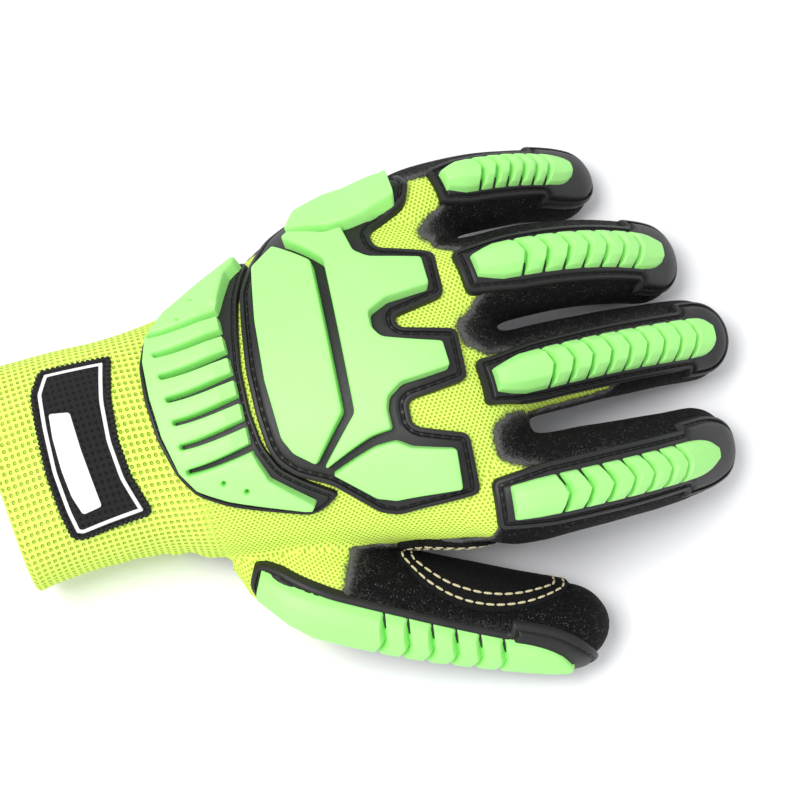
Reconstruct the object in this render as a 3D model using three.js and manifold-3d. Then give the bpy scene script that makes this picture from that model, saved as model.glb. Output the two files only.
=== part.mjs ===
// Impact glove for the left hand, resting palm down with its fingers spread and a little bent.
// Millimetres. X runs from the cuff to the fingertips, +Y to the little finger, +Z up.
// A knit shell carries a dipped palm coating, moulded rubber guards with raised pads,
// a sewn thumb crotch patch and a sewn cuff label.
import * as THREE from 'three';
import { mergeVertices } from 'three/addons/utils/BufferGeometryUtils.js';
import { TessellateModifier } from 'three/addons/modifiers/TessellateModifier.js';
import Module from 'manifold-3d';

const wasm = await Module();
wasm.setup();

// Driving sizes of the palm and cuff
const PALM_LENGTH = 148;
const PALM_BREADTH = 109;
const PALM_HEIGHT = 62;
const CUFF_X = -116;
const PALM_FRONT = CUFF_X + PALM_LENGTH;
const WEB_ROUNDING = 17;

// Walls, layers and clearances
const KNIT_WALL = 1.3;
const COAT_WALL = 0.9;
const GUARD_WALL = 2.2;
const PATCH_WALL = 0.9;
const LABEL_WALL = 1.0;
const GAP = 0.3;
const COAT_TOP = GAP + COAT_WALL;
const GUARD_TOP = GAP + GUARD_WALL;
const ROOT_DEPTH = 1.6;
const REAR_STRETCH = 4;

// Raised pads
const HAND_PAD_HEIGHT = 3.6;
const HAND_PAD_CHAMFER = 1.0;
const FINGER_PAD_HEIGHT = 3.4;
const FINGER_PAD_SHOULDER = 0.62;
const PAD_TOP_SHARE = 0.58;
const GROOVE_FLOOR = 0.9;
const GROOVE_WIDTH = 1.1;
const CHEVRON = 2.2;

// Where the glove's own middle lies in the frame that the tables below use
const MIDDLE_X = -6.44;
const MIDDLE_Y = -10.03;

// Palm sections. along is a share of PALM_LENGTH from the cuff end; thumb and little are the
// two side edges as shares of PALM_BREADTH; top and bottom are shares of PALM_HEIGHT; crest is
// the ridge line and droop the fall to each side (per mm squared); power is the section's
// superellipse exponent.
const PALM_SECTIONS = [
  // along, thumb, little, top, bottom, crest, droop, power
  [0.000, -0.143, 0.472, 0.758, 0.024, 0.165, 0.0000, 2.1],
  [0.135, -0.142, 0.463, 0.798, 0.010, 0.156, 0.0000, 2.1],
  [0.264, -0.161, 0.445, 0.839, -0.020, 0.128, 0.0005, 2.2],
  [0.392, -0.239, 0.454, 0.879, -0.030, 0.092, 0.0015, 2.3],
  [0.547, -0.303, 0.514, 0.927, 0.050, 0.037, 0.0028, 2.4],
  [0.703, -0.352, 0.578, 0.976, 0.240, 0.000, 0.0035, 2.6],
  [0.838, -0.415, 0.592, 0.985, 0.380, -0.018, 0.0034, 2.7],
  [1.000, -0.425, 0.573, 0.890, 0.440, -0.018, 0.0030, 2.7],
];

// Digits. The middle of the inner end lies behind the palm's front edge (mm), across the palm
// (share of PALM_BREADTH) and up (share of PALM_HEIGHT); yaw, pitch and roll set the direction
// there in degrees; bend is the whole curl; wide and deep are half sizes at root and tip; over
// the heel's length the digit grows from its heelShare to its full size.
const DIGITS = {
  little_finger: { behind: 22, across: 0.492, up: 0.629, yaw: 6.4, pitch: -13.2, roll: 16, bend: 33,
    length: 77.8, wide: [11.8, 10.2], deep: [11.0, 9.0], heel: 14, heelShare: 0.8 },
  ring_finger: { behind: 24, across: 0.229, up: 0.742, yaw: 2.1, pitch: -5.6, roll: 8, bend: 44.2,
    length: 97.6, wide: [13.2, 11.8], deep: [12.2, 9.8], heel: 14, heelShare: 0.8 },
  middle_finger: { behind: 24, across: -0.035, up: 0.742, yaw: 0.8, pitch: -14.9, roll: 4, bend: 19,
    length: 101.8, wide: [12.6, 11.6], deep: [12.4, 10.0], heel: 14, heelShare: 0.8 },
  index_finger: { behind: 24, across: -0.320, up: 0.702, yaw: -7.9, pitch: -2.2, roll: -16, bend: 52.4,
    length: 94, wide: [15.0, 11.6], deep: [12.4, 10.0], heel: 16, heelShare: 0.66 },
  thumb: { behind: 93, across: -0.243, up: 0.371, yaw: -31.5, pitch: -4.4, roll: -62, bend: 8,
    length: 112, wide: [17.0, 11.3], deep: [14.2, 10.2], heel: 32, heelShare: 0.15 },
};

// Guards on the digits. side is the offset of the guard's middle line from the digit's back at
// root and tip; base and hood are half widths of the rubber base at its mid length and over the
// fingertip; pad is the half width of the raised pad. The rest are shares of the digit's length:
// where the base starts, the pad starts, the first block ends, the last groove lies, the pad
// ends, the hood starts and the base ends. blocks is the number of small blocks in the pad.
const FINGER_GUARDS = {
  little_finger: { side: [-1.6, -5.0], base: 8.2, hood: 11.4, pad: 4.7, blocks: 5,
    start: 0.223, padStart: 0.256, first: 0.393, last: 0.675, padEnd: 0.806, hoodAt: 0.675, tip: 0.983 },
  ring_finger: { side: [-0.2, -4.8], base: 9.2, hood: 13.2, pad: 5.2, blocks: 6,
    start: 0.175, padStart: 0.216, first: 0.352, last: 0.725, padEnd: 0.842, hoodAt: 0.765, tip: 0.965 },
  middle_finger: { side: [-4.8, -4.4], base: 9.6, hood: 13.0, pad: 5.6, blocks: 8,
    start: 0.109, padStart: 0.145, first: 0.311, last: 0.794, padEnd: 0.878, hoodAt: 0.799, tip: 0.962 },
  index_finger: { side: [-2.4, -0.4], base: 9.4, hood: 12.0, pad: 5.2, blocks: 6,
    start: 0.069, padStart: 0.117, first: 0.263, last: 0.628, padEnd: 0.787, hoodAt: 0.681, tip: 0.957 },
  thumb: { side: [5.2, -4.4], base: 8.8, hood: 12.6, pad: 6.8, blocks: 5,
    start: 0.058, padStart: 0.080, first: 0.416, last: 0.728, padEnd: 0.915, hoodAt: 0.738, tip: 0.982 },
};

// Guard over the knuckles. Its rear edge lies behind the palm's front edge. Outlines are shares
// of its length, from the rear edge, and of its breadth, from the palm's middle line to the
// little finger side.
const KNUCKLE_GUARD = { behind: 74, length: 64, breadth: 112 };
const KNUCKLE_BASE = [
  // along, across
  [0.92, 0.590], [0.99, 0.466], [0.96, 0.408], [0.78, 0.355], [0.76, 0.338], [0.76, 0.290],
  [1.00, 0.241], [0.97, 0.106], [0.73, 0.075], [0.73, 0.046], [0.97, 0.013], [0.94, -0.126],
  [0.66, -0.151], [0.65, -0.206], [0.67, -0.218], [0.87, -0.257], [0.84, -0.414],
  [0.48, -0.432], [0.40, -0.408], [0.36, -0.380], [0.23, -0.290], [0.09, -0.234],
  [0.03, -0.188], [0.01, -0.145], [0.01, -0.061], [0.03, 0.057], [0.08, 0.192],
  [0.12, 0.287], [0.20, 0.373], [0.32, 0.480], [0.52, 0.570], [0.66, 0.600],
];
const KNUCKLE_PADS = {
  knuckle_pad_hand: [
    [0.345, 0.362], [0.475, 0.265], [0.385, -0.140], [0.205, -0.228], [0.120, -0.181],
    [0.088, -0.138], [0.097, 0.007], [0.142, 0.158], [0.217, 0.318],
  ],
  knuckle_pad_middle: [
    [0.385, 0.378], [0.425, 0.393], [0.575, 0.345], [0.655, 0.352], [0.665, 0.265],
    [0.710, 0.240], [0.915, 0.208], [0.905, 0.125], [0.720, 0.112], [0.630, 0.084],
    [0.620, 0.044], [0.645, 0.016], [0.875, -0.025], [0.870, -0.093], [0.660, -0.109],
    [0.590, -0.137], [0.570, -0.165], [0.563, -0.214], [0.465, -0.218], [0.245, -0.246],
    [0.235, -0.238], [0.425, -0.150], [0.520, 0.258],
  ],
  knuckle_pad_little: [
    [0.415, 0.408], [0.500, 0.510], [0.610, 0.548], [0.870, 0.548], [0.900, 0.400],
    [0.690, 0.370], [0.585, 0.366],
  ],
  knuckle_pad_index: [
    [0.255, -0.262], [0.470, -0.240], [0.565, -0.240], [0.620, -0.262], [0.790, -0.286],
    [0.770, -0.386], [0.495, -0.378], [0.415, -0.358],
  ],
};

// Guard over the back of the hand, with a comb of tapered slots in its pad's front edge
const BACK_GUARD = { behind: KNUCKLE_GUARD.behind + 28, length: 40, breadth: 96 };
const BACK_BASE = [
  // along, across
  [0.965, 0.510], [0.66, 0.443], [0.34, 0.347], [0.17, 0.265], [0.055, 0.172], [0.00, 0.061],
  [0.00, -0.061], [0.055, -0.175], [0.145, -0.240], [0.35, -0.295], [0.865, -0.402],
  [0.975, -0.401], [1.04, -0.378], [0.86, -0.286], [0.73, -0.234], [0.685, -0.155],
  [0.68, -0.051], [0.71, 0.078], [0.775, 0.203], [0.84, 0.312], [0.93, 0.412],
];
const BACK_PAD = [
  [0.925, 0.468], [0.675, 0.405], [0.375, 0.320], [0.215, 0.243], [0.100, 0.158],
  [0.048, 0.058], [0.048, -0.060], [0.095, -0.164], [0.180, -0.218], [0.365, -0.266],
  [0.860, -0.370], [0.930, -0.366], [0.800, -0.298], [0.690, -0.250], [0.630, -0.168],
];
// mouth and end widths, mm; from and to are the first and last slot's mouths; spread is how
// far apart the inner ends lie, as a share of the mouths
const BACK_SLOTS = { count: 7, from: [0.630, -0.150], to: [0.705, 0.222],
  length: 0.44, spread: 0.88, mouthWidth: 2.7, endWidth: 0.8 };
const BACK_PAD_FRONT = [[0.740, 0.300], [0.870, 0.410]];

// Sewn pieces. The patch runs along the thumb between two distances and round it between two
// angles from the thumb's back.
const LABEL = { behind: BACK_GUARD.behind + 33, length: 28, breadth: 53 };
const LABEL_OUTLINE = [
  // along, across
  [0.24, 0.46], [0.99, 0.44], [0.86, 0.15], [0.81, -0.07], [0.82, -0.27], [0.91, -0.48],
  [0.86, -0.51], [0.16, -0.55], [0.04, -0.52], [0.01, -0.37], [0.00, -0.15], [0.04, 0.10],
  [0.09, 0.31],
];
const CROTCH_PATCH = { from: 47.5, to: 98.3, upper: 52, ends: 120, lower: 172 };

// Reach of the dipped coating: degrees round from the back, and distances along. The palm's two
// edges are given at its rear and at its front.
const COAT = { palmStart: 0.31, palmLittle: [112, 46], palmThumb: [246, 272], fingerRoot: 100,
  fingerSide: 28, climb: 26, fingerStart: 2, thumbRoot: 36, thumbStart: 33 };
// The strip of the middle finger's side that stays bare, as distances along and an edge in degrees
const BARE_STRIP = { digit: 'middle_finger', from: 8, to: 60, edge: 76 };
// Where the coating climbs over the webs between the fingers: ellipses by their middle behind the
// palm's front edge, their middle across as a share of PALM_BREADTH, and their half sizes
const WEBS = [
  // behind, across, half length, half breadth
  [2, -0.229, 10.5, 8.8], [1, 0.078, 10.5, 7.6], [0, 0.399, 11, 6.2],
];
// The coating closes the palm's front end between the fingers up to this share of PALM_HEIGHT
const WEB_FRONT = { depth: 8, top: 0.64 };

// Fineness of the faceted surfaces: rows along and sides round, outside and inside the knit
const OUTSIDE = { palmRows: 8, palmSides: 20, digitRows: 4, tipRows: 3, digitSides: 10 };
const INSIDE = { palmRows: 6, palmSides: 12, digitRows: 4, tipRows: 2, digitSides: 7 };
const SHEET_EDGE = 20;
const LABEL_EDGE = 9;

const RAD = Math.PI / 180;
const HALF_TURN = Math.PI;
const QUARTER_TURN = Math.PI / 2;

const smooth = (t) => t * t * (3 - 2 * t);
const clamp01 = (t) => Math.min(Math.max(t, 0), 1);
const mix = (a, b, t) => a + (b - a) * t;
const steps = (from, to, count) => Array.from({ length: count + 1 }, (_, i) => mix(from, to, i / count));
const roundTurn = (sides) => steps(0, 2 * HALF_TURN, sides).slice(0, -1);

// Smooth curve through one column of a table, by Hermite pieces with Catmull-Rom slopes
function tableCurve(rows, column, at) {
  const last = rows.length - 1;
  const slope = (i) => {
    const a = Math.max(i - 1, 0);
    const b = Math.min(i + 1, last);
    return (rows[b][column] - rows[a][column]) / (rows[b][0] - rows[a][0]);
  };
  let i = 0;
  while (i < last - 1 && rows[i + 1][0] <= at) i += 1;
  const span = rows[i + 1][0] - rows[i][0];
  const t = clamp01((at - rows[i][0]) / span);
  const value = rows[i][column] * (1 + 2 * t) * (1 - t) ** 2 + rows[i + 1][column] * t * t * (3 - 2 * t);
  return value + span * (slope(i) * t * (1 - t) ** 2 - slope(i + 1) * t * t * (1 - t));
}

// A layer that lies h outside the knit is flattened where the coating's outer face meets the table
const restOnTable = (point, h) => {
  point.z = Math.max(point.z, COAT_TOP - h);
  return point;
};

// The palm and cuff: a loft of superellipse sections
class Palm {
  section(x) {
    const along = (x - CUFF_X) / PALM_LENGTH;
    const read = (column) => tableCurve(PALM_SECTIONS, column, along);
    return {
      thumb: read(1) * PALM_BREADTH, little: read(2) * PALM_BREADTH,
      top: read(3) * PALM_HEIGHT, bottom: read(4) * PALM_HEIGHT,
      crest: read(5) * PALM_BREADTH, droop: read(6), power: read(7),
    };
  }

  // Point on the layer h outside the knit. turn is 0 at the back of the hand, a quarter turn
  // at the little finger side, a half turn at the palm.
  ring(x, turn, h) {
    const s = this.section(Math.min(x, PALM_FRONT));
    const f = clamp01((x - (PALM_FRONT - WEB_ROUNDING)) / (WEB_ROUNDING + h));
    const close = Math.sqrt(Math.max(1 - f * f, 0.02));
    const wide = ((s.little - s.thumb) / 2 + h) * mix(0.5, 1, close);
    const deep = ((s.top - s.bottom) / 2 + h) * mix(0.2, 1, close);
    const bulge = (c) => Math.sign(c) * Math.abs(c) ** (2 / s.power);
    const y = (s.little + s.thumb) / 2 + wide * bulge(Math.sin(turn));
    const z = (s.top + s.bottom) / 2 + deep * bulge(Math.cos(turn)) - s.droop * (y - s.crest) ** 2;
    return restOnTable(new THREE.Vector3(x, y, z), h);
  }

  // Polyline of the section at x with its running length from the back of the hand
  arcTable(x) {
    const count = 90;
    const points = steps(-HALF_TURN, HALF_TURN, count).map((turn) => this.ring(x, turn, 0));
    const arcs = [0];
    for (let i = 1; i <= count; i += 1) arcs.push(arcs[i - 1] + points[i].distanceTo(points[i - 1]));
    return { points, arcs: arcs.map((a) => a - arcs[count / 2]) };
  }

  onArc(x, arc) {
    const { points, arcs } = this.arcTable(x);
    let i = 0;
    while (i < arcs.length - 2 && arcs[i + 1] < arc) i += 1;
    return points[i].clone().lerp(points[i + 1], (arc - arcs[i]) / (arcs[i + 1] - arcs[i]));
  }

  // Point over the back: x along, across the distance over the surface, h out of it
  over(x, across, h) {
    const reach = 1.5;
    const here = this.onArc(x, across);
    const along = this.onArc(x + reach, across).sub(this.onArc(x - reach, across));
    const side = this.onArc(x, across + reach).sub(this.onArc(x, across - reach));
    return here.addScaledVector(along.cross(side).normalize(), h);
  }

  // The point, raised to the layer h over the back of the hand where it lies lower
  clearOf(point, h) {
    const s = this.section(Math.min(point.x, PALM_FRONT));
    const f = clamp01((point.x - (PALM_FRONT - WEB_ROUNDING)) / (WEB_ROUNDING + h));
    const close = Math.sqrt(Math.max(1 - f * f, 0.02));
    const wide = ((s.little - s.thumb) / 2 + h) * mix(0.5, 1, close);
    const deep = ((s.top - s.bottom) / 2 + h) * mix(0.2, 1, close);
    const off = Math.abs(point.y - (s.little + s.thumb) / 2) / wide;
    if (off >= 1 || point.x >= PALM_FRONT) return point;
    const top = (s.top + s.bottom) / 2 + deep * (1 - off ** s.power) ** (1 / s.power);
    point.z = Math.max(point.z, top - s.droop * (point.y - s.crest) ** 2);
    return point;
  }

  solid(h, fineness, rearStretch = 0) {
    const roundingStart = PALM_FRONT - WEB_ROUNDING;
    const stations = [
      ...(rearStretch > 0 ? [CUFF_X - rearStretch] : []),
      ...steps(CUFF_X, roundingStart, fineness.palmRows),
      ...steps(0, QUARTER_TURN, 4).slice(1).map((t) => roundingStart + (WEB_ROUNDING + h) * Math.sin(t)),
    ];
    return tube(stations.map((x) => roundTurn(fineness.palmSides).map((turn) => this.ring(x, turn, h))));
  }
}

// A finger or thumb: a tapering tube along a curling middle line, round at its tip
class Digit {
  constructor({ behind, across, up, yaw, pitch, roll, ...sizes }) {
    const [y, p, r] = [yaw * RAD, pitch * RAD, roll * RAD];
    this.root = new THREE.Vector3(PALM_FRONT - behind, across * PALM_BREADTH, up * PALM_HEIGHT);
    this.ahead = new THREE.Vector3(Math.cos(y) * Math.cos(p), Math.sin(y) * Math.cos(p), Math.sin(p));
    const left = new THREE.Vector3(-Math.sin(y), Math.cos(y), 0);
    const above = this.ahead.clone().cross(left);
    this.side = left.clone().multiplyScalar(Math.cos(r)).addScaledVector(above, -Math.sin(r));
    this.back = above.clone().multiplyScalar(Math.cos(r)).addScaledVector(left, Math.sin(r));
    Object.assign(this, sizes);
    this.dome = 1.05 * this.wide[1];
    this.skin = this.length - this.dome + this.dome * QUARTER_TURN;
  }

  frame(s) {
    const turned = this.bend * RAD * smooth(clamp01(s / this.length));
    const [c, d] = [Math.cos(turned), Math.sin(turned)];
    return {
      ahead: this.ahead.clone().multiplyScalar(c).addScaledVector(this.back, -d),
      up: this.back.clone().multiplyScalar(c).addScaledVector(this.ahead, d),
    };
  }

  centre(s) {
    const count = 40;
    const step = s / count;
    const point = this.root.clone();
    for (let i = 0; i < count; i += 1) point.addScaledVector(this.frame((i + 0.5) * step).ahead, step);
    return point;
  }

  halfSizes(s, h) {
    const t = clamp01(s / this.length);
    const grow = mix(this.heelShare, 1, Math.sin(clamp01(s / this.heel) * QUARTER_TURN));
    return [this.wide, this.deep].map(([root, tip]) => mix(root, tip, t) * grow + h);
  }

  // Point on the layer h outside the knit: u along the skin, turn round from the digit's back
  ring(u, turn, h) {
    const domeStart = this.length - this.dome;
    const psi = Math.min(Math.max((u - domeStart) / this.dome, 0), QUARTER_TURN);
    const s = psi > 0 ? domeStart + this.dome * Math.sin(psi) : u;
    const { ahead, up } = this.frame(s);
    const [wide, deep] = this.halfSizes(s, h);
    return restOnTable(this.centre(s)
      .addScaledVector(this.side, wide * Math.sin(turn) * Math.cos(psi))
      .addScaledVector(up, deep * Math.cos(turn) * Math.cos(psi))
      .addScaledVector(ahead, h * Math.sin(psi)), h);
  }

  // Point over the back: across is the distance round the layer h
  over(u, across, h) {
    const [wide, deep] = this.halfSizes(u, h);
    return this.ring(u, across / ((wide + deep) / 2), h);
  }

  // Distances along the skin, closer together over the round tip
  stations(from, { digitRows, tipRows }) {
    const domeStart = this.length - this.dome;
    return [...steps(from, domeStart, digitRows), ...steps(domeStart, this.skin, tipRows).slice(1)];
  }

  solid(h, fineness) {
    const [, ...ahead] = this.stations(0, fineness);
    const turns = roundTurn(fineness.digitSides);
    return tube([-h, ...ahead].map((u) => turns.map((turn) => this.ring(u, turn, h))));
  }
}

// Closed mesh from positions and index, as a solid for joining and cutting
function toSolid(geometry) {
  const bare = new THREE.BufferGeometry();
  bare.setAttribute('position', geometry.getAttribute('position'));
  if (geometry.index) bare.setIndex(geometry.index);
  const merged = mergeVertices(bare, 1e-4);
  const index = merged.index.array;
  const kept = [];
  for (let i = 0; i < index.length; i += 3) {
    const [a, b, c] = [index[i], index[i + 1], index[i + 2]];
    if (a !== b && b !== c && c !== a) kept.push(a, b, c);
  }
  return new wasm.Manifold(new wasm.Mesh({
    numProp: 3,
    vertProperties: new Float32Array(merged.getAttribute('position').array),
    triVerts: new Uint32Array(kept),
  }));
}

function toGeometry(solid) {
  const { vertProperties, triVerts } = solid.getMesh();
  const geometry = new THREE.BufferGeometry();
  geometry.setAttribute('position', new THREE.BufferAttribute(vertProperties, 3));
  geometry.setIndex(new THREE.BufferAttribute(triVerts, 1));
  geometry.computeVertexNormals();
  return geometry;
}

// Solid from rings of points, each ring the same count, with flat ends
function tube(rings) {
  const sides = rings[0].length;
  const positions = rings.flat().flatMap((p) => p.toArray());
  const index = [];
  for (let i = 0; i + 1 < rings.length; i += 1) {
    for (let j = 0; j < sides; j += 1) {
      const [a, b] = [i * sides + j, i * sides + ((j + 1) % sides)];
      index.push(a, b, a + sides, b, b + sides, a + sides);
    }
  }
  [0, rings.length - 1].forEach((end) => {
    const middle = rings[end].reduce((sum, p) => sum.add(p), new THREE.Vector3()).divideScalar(sides);
    const hub = positions.push(...middle.toArray()) / 3 - 1;
    for (let j = 0; j < sides; j += 1) {
      const [a, b] = [end * sides + j, end * sides + ((j + 1) % sides)];
      index.push(...(end === 0 ? [hub, b, a] : [hub, a, b]));
    }
  });
  return facingOut(positions, index);
}

function facingOut(positions, index) {
  const geometry = new THREE.BufferGeometry();
  geometry.setAttribute('position', new THREE.Float32BufferAttribute(positions, 3));
  geometry.setIndex(index);
  const solid = toSolid(geometry);
  if (solid.volume() >= 0) return solid;
  for (let i = 0; i < index.length; i += 3) [index[i + 1], index[i + 2]] = [index[i + 2], index[i + 1]];
  geometry.setIndex(index);
  return toSolid(geometry);
}

// Solid sheet over a carrier: a grid between an inner and an outer face
function sheet(us, crossing, inner, outer) {
  const rings = us.map((u) => {
    const across = crossing(u);
    return [...across.map((v) => outer(u, v)), ...across.slice().reverse().map((v) => inner(u, v))];
  });
  return tube(rings);
}

// Flat outline laid over the palm, between two heights
function laidOutline(palm, outline, low, high, inset = 0, edge = SHEET_EDGE) {
  const shape = new THREE.Shape(outline.map(([x, across]) => new THREE.Vector2(x, across)));
  const chamfer = inset > 0;
  const flat = new THREE.ExtrudeGeometry(shape, {
    depth: high - low - inset, steps: 1, bevelEnabled: chamfer, bevelSegments: 1,
    bevelThickness: inset, bevelSize: inset * 0.6, bevelOffset: -inset * 0.6,
  });
  const fine = new TessellateModifier(edge, 8).modify(flat);
  const position = fine.getAttribute('position');
  const positions = [];
  for (let i = 0; i < position.count; i += 1) {
    const lift = Math.max(position.getZ(i), 0) + low;
    positions.push(...palm.over(position.getX(i), position.getY(i), lift).toArray());
  }
  return facingOut(positions, positions.map((_, i) => i).slice(0, position.count));
}

const onGuard = (guard, rows) => rows.map(([along, across]) => [
  PALM_FRONT - guard.behind + along * guard.length, across * guard.breadth]);

// Outline grown outwards by a margin, each corner moved along its bisector
function grown(outline, margin) {
  const area = outline.reduce((sum, [x, y], i) => {
    const [x2, y2] = outline[(i + 1) % outline.length];
    return sum + x * y2 - x2 * y;
  }, 0);
  const out = margin * Math.sign(area);
  return outline.map(([x, y], i) => {
    const [px, py] = outline[(i + outline.length - 1) % outline.length];
    const [nx, ny] = outline[(i + 1) % outline.length];
    const before = new THREE.Vector2(y - py, px - x).normalize();
    const after = new THREE.Vector2(ny - y, x - nx).normalize();
    const mid = before.clone().add(after).normalize();
    const reach = out / Math.max(mid.dot(before), 0.5);
    return [x + mid.x * reach, y + mid.y * reach];
  });
}

// Outline of the slotted pad: the comb's slots run back from its front edge
function combOutline() {
  const front = [];
  const { count, from, to, length, spread, mouthWidth, endWidth } = BACK_SLOTS;
  const wide = mouthWidth / 2 / BACK_GUARD.breadth;
  const narrow = endWidth / 2 / BACK_GUARD.breadth;
  for (let i = 0; i < count; i += 1) {
    const t = i / (count - 1);
    const mouth = [mix(from[0], to[0], t), mix(from[1], to[1], t)];
    const end = [mouth[0] - length * (1 - 0.12 * (2 * t - 1) ** 2), mouth[1] * spread];
    front.push([mouth[0], mouth[1] - wide], [end[0], end[1] - narrow]);
    front.push([end[0], end[1] + narrow], [mouth[0], mouth[1] + wide]);
  }
  return [...BACK_PAD, ...front, ...BACK_PAD_FRONT];
}

const union = (solids) => solids.reduce((all, solid) => all.add(solid));

// The largest body of a cut solid, without the slivers beside it
const mainBody = (solid) => solid.decompose()
  .reduce((best, body) => (body.volume() > best.volume() ? body : best));

// The rubber base of a digit's guard: narrow start, wide middle, wider hood round the tip
function guardBase(digit, guard, low, high, margin = 0) {
  const { base, hood } = guard;
  const [start, hoodAt, tip] = [guard.start, guard.hoodAt, guard.tip].map((share) => share * digit.length);
  const span = hoodAt - start;
  const rows = [
    // along, half width
    [start - margin, base * 0.76], [start + span * 0.26, base * 0.98], [start + span * 0.6, base],
    [hoodAt - 1 - margin, base * 0.97], [hoodAt + 1 - margin, hood * 0.96],
    [mix(hoodAt, tip, 0.4), hood], [mix(hoodAt, tip, 0.72), hood * 0.84],
    [mix(hoodAt, tip, 0.9), hood * 0.6], [tip + margin, hood * 0.3],
  ];
  const line = (u) => mix(guard.side[0], guard.side[1], u / digit.length);
  const halfAt = (u) => rows.find(([at]) => at === u)[1] + margin;
  const face = (h) => (u, v) => palm.clearOf(digit.over(u, line(u) + v * (1 + (h - low) * 0.02), h), h);
  return sheet(rows.map(([at]) => at), (u) => steps(-halfAt(u), halfAt(u), 6), face(low), face(high));
}

// The raised pad of a digit's guard: a long first block, small blocks parted by chevron
// grooves that reach down to a thin web, and an end block
function guardPad(digit, guard) {
  const floor = GUARD_TOP - ROOT_DEPTH;
  const web = GUARD_TOP + GAP + GROOVE_FLOOR;
  const crown = GUARD_TOP + GAP + FINGER_PAD_HEIGHT;
  const lift = (share) => mix(web, crown, share);
  const { side, blocks, pad } = guard;
  const [padStart, first, last, padEnd] = [guard.padStart, guard.first, guard.last, guard.padEnd]
    .map((share) => share * digit.length);
  const profile = [
    // along, height, half width
    [padStart, lift(0.1), pad * 0.5], [padStart + 0.8, lift(0.8), pad * 0.56],
    [mix(padStart, first, 0.5), crown, pad * 0.95],
  ];
  steps(first, last, blocks).forEach((at, i) => {
    const height = lift(mix(1, 0.72, i / blocks));
    profile.push([at - GROOVE_WIDTH / 2, height, pad], [at, web, pad], [at + GROOVE_WIDTH / 2, height, pad]);
  });
  profile.push([mix(last, padEnd, 0.55), lift(0.66), pad * 0.92]);
  profile.push([padEnd - 1, lift(0.5), pad * 0.66], [padEnd, lift(0.1), pad * 0.5]);
  return tube(profile.map(([u, height, half], i) => {
    const chevron = i > 2 && i < profile.length - 3 ? CHEVRON : 0;
    const point = (v, h) => {
      const at = u + chevron * (0.5 - Math.abs(v) / pad);
      return palm.clearOf(digit.over(at, mix(side[0], side[1], at / digit.length) + v, h), h);
    };
    const flat = half * PAD_TOP_SHARE;
    const shoulder = mix(web - GROOVE_FLOOR / 2, height, FINGER_PAD_SHOULDER);
    return [point(-half, floor), point(-half, shoulder), point(-flat, height),
      point(flat, height), point(half, shoulder), point(half, floor)];
  }));
}

const palm = new Palm();
const digits = Object.fromEntries(Object.entries(DIGITS).map(([name, sizes]) => [name, new Digit(sizes)]));
const hand = (h, fineness, rearStretch = 0) => union([palm.solid(h, fineness, rearStretch),
  ...Object.values(digits).map((digit) => digit.solid(h, fineness))]);

const overKnit = hand(GAP, OUTSIDE, REAR_STRETCH);
const overCoat = hand(COAT_TOP + GAP, OUTSIDE, REAR_STRETCH);

// The knit: a wall all round, open at the cuff
const knitShell = () => mainBody(hand(0, OUTSIDE).subtract(hand(-KNIT_WALL, INSIDE, REAR_STRETCH)));

const fingerBases = Object.fromEntries(Object.entries(FINGER_GUARDS).map(([name, guard]) => [name, {
  base: guardBase(digits[name], guard, -ROOT_DEPTH, GUARD_TOP),
  cover: guardBase(digits[name], guard, -ROOT_DEPTH, GUARD_TOP + GAP, GAP),
  clearance: guardBase(digits[name], guard, -ROOT_DEPTH, GUARD_TOP + GAP, 1.5 * GAP),
}]));

// The dipped coating: the palm, both sides of each finger and every fingertip
function palmCoating() {
  const [low, high] = [-ROOT_DEPTH, COAT_TOP + ROOT_DEPTH];
  const [rear, front] = [CUFF_X + COAT.palmStart * PALM_LENGTH, PALM_FRONT - 1];
  const palmEdge = (ends, x) => mix(...ends, smooth((x - rear) / (front - rear))) * RAD;
  const palmReach = sheet(steps(rear, front, 8),
    (x) => steps(palmEdge(COAT.palmLittle, x), palmEdge(COAT.palmThumb, x), 8),
    (x, turn) => palm.ring(x, turn, low), (x, turn) => palm.ring(x, turn, high));
  const digitReaches = Object.entries(digits).map(([name, digit]) => {
    const [start, rootEdge] = name === 'thumb' ? [COAT.thumbStart, COAT.thumbRoot]
      : [COAT.fingerStart, COAT.fingerRoot];
    const edge = (u) => mix(rootEdge, COAT.fingerSide, smooth(clamp01((u - start) / COAT.climb)));
    const bare = (u) => (name === BARE_STRIP.digit && u > BARE_STRIP.from && u < BARE_STRIP.to
      ? BARE_STRIP.edge : 0);
    return sheet(digit.stations(start, OUTSIDE),
      (u) => steps(edge(u) * RAD, 2 * HALF_TURN - Math.max(edge(u), bare(u)) * RAD, 8),
      (u, turn) => digit.ring(u, turn, low), (u, turn) => digit.ring(u, turn, high));
  });
  const webs = WEBS.map(([behind, across, halfLength, halfBreadth]) => toSolid(
    new THREE.CylinderGeometry(1, 1, PALM_HEIGHT, 16).rotateX(QUARTER_TURN)
      .scale(halfLength, halfBreadth, 1)
      .translate(PALM_FRONT - behind, across * PALM_BREADTH, PALM_HEIGHT)));
  const guards = union([...Object.values(fingerBases), knuckle, back].map(({ clearance }) => clearance));
  const frontHeight = WEB_FRONT.top * PALM_HEIGHT;
  const webFront = toSolid(new THREE.BoxGeometry(WEB_FRONT.depth, 2 * PALM_BREADTH, frontHeight)
    .translate(PALM_FRONT, 0, frontHeight / 2));
  const layer = hand(COAT_TOP, OUTSIDE).subtract(overKnit);
  const reaches = union([palmReach, webFront, ...digitReaches, ...webs]);
  return mainBody(layer.intersect(reaches).subtract(guards));
}

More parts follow.
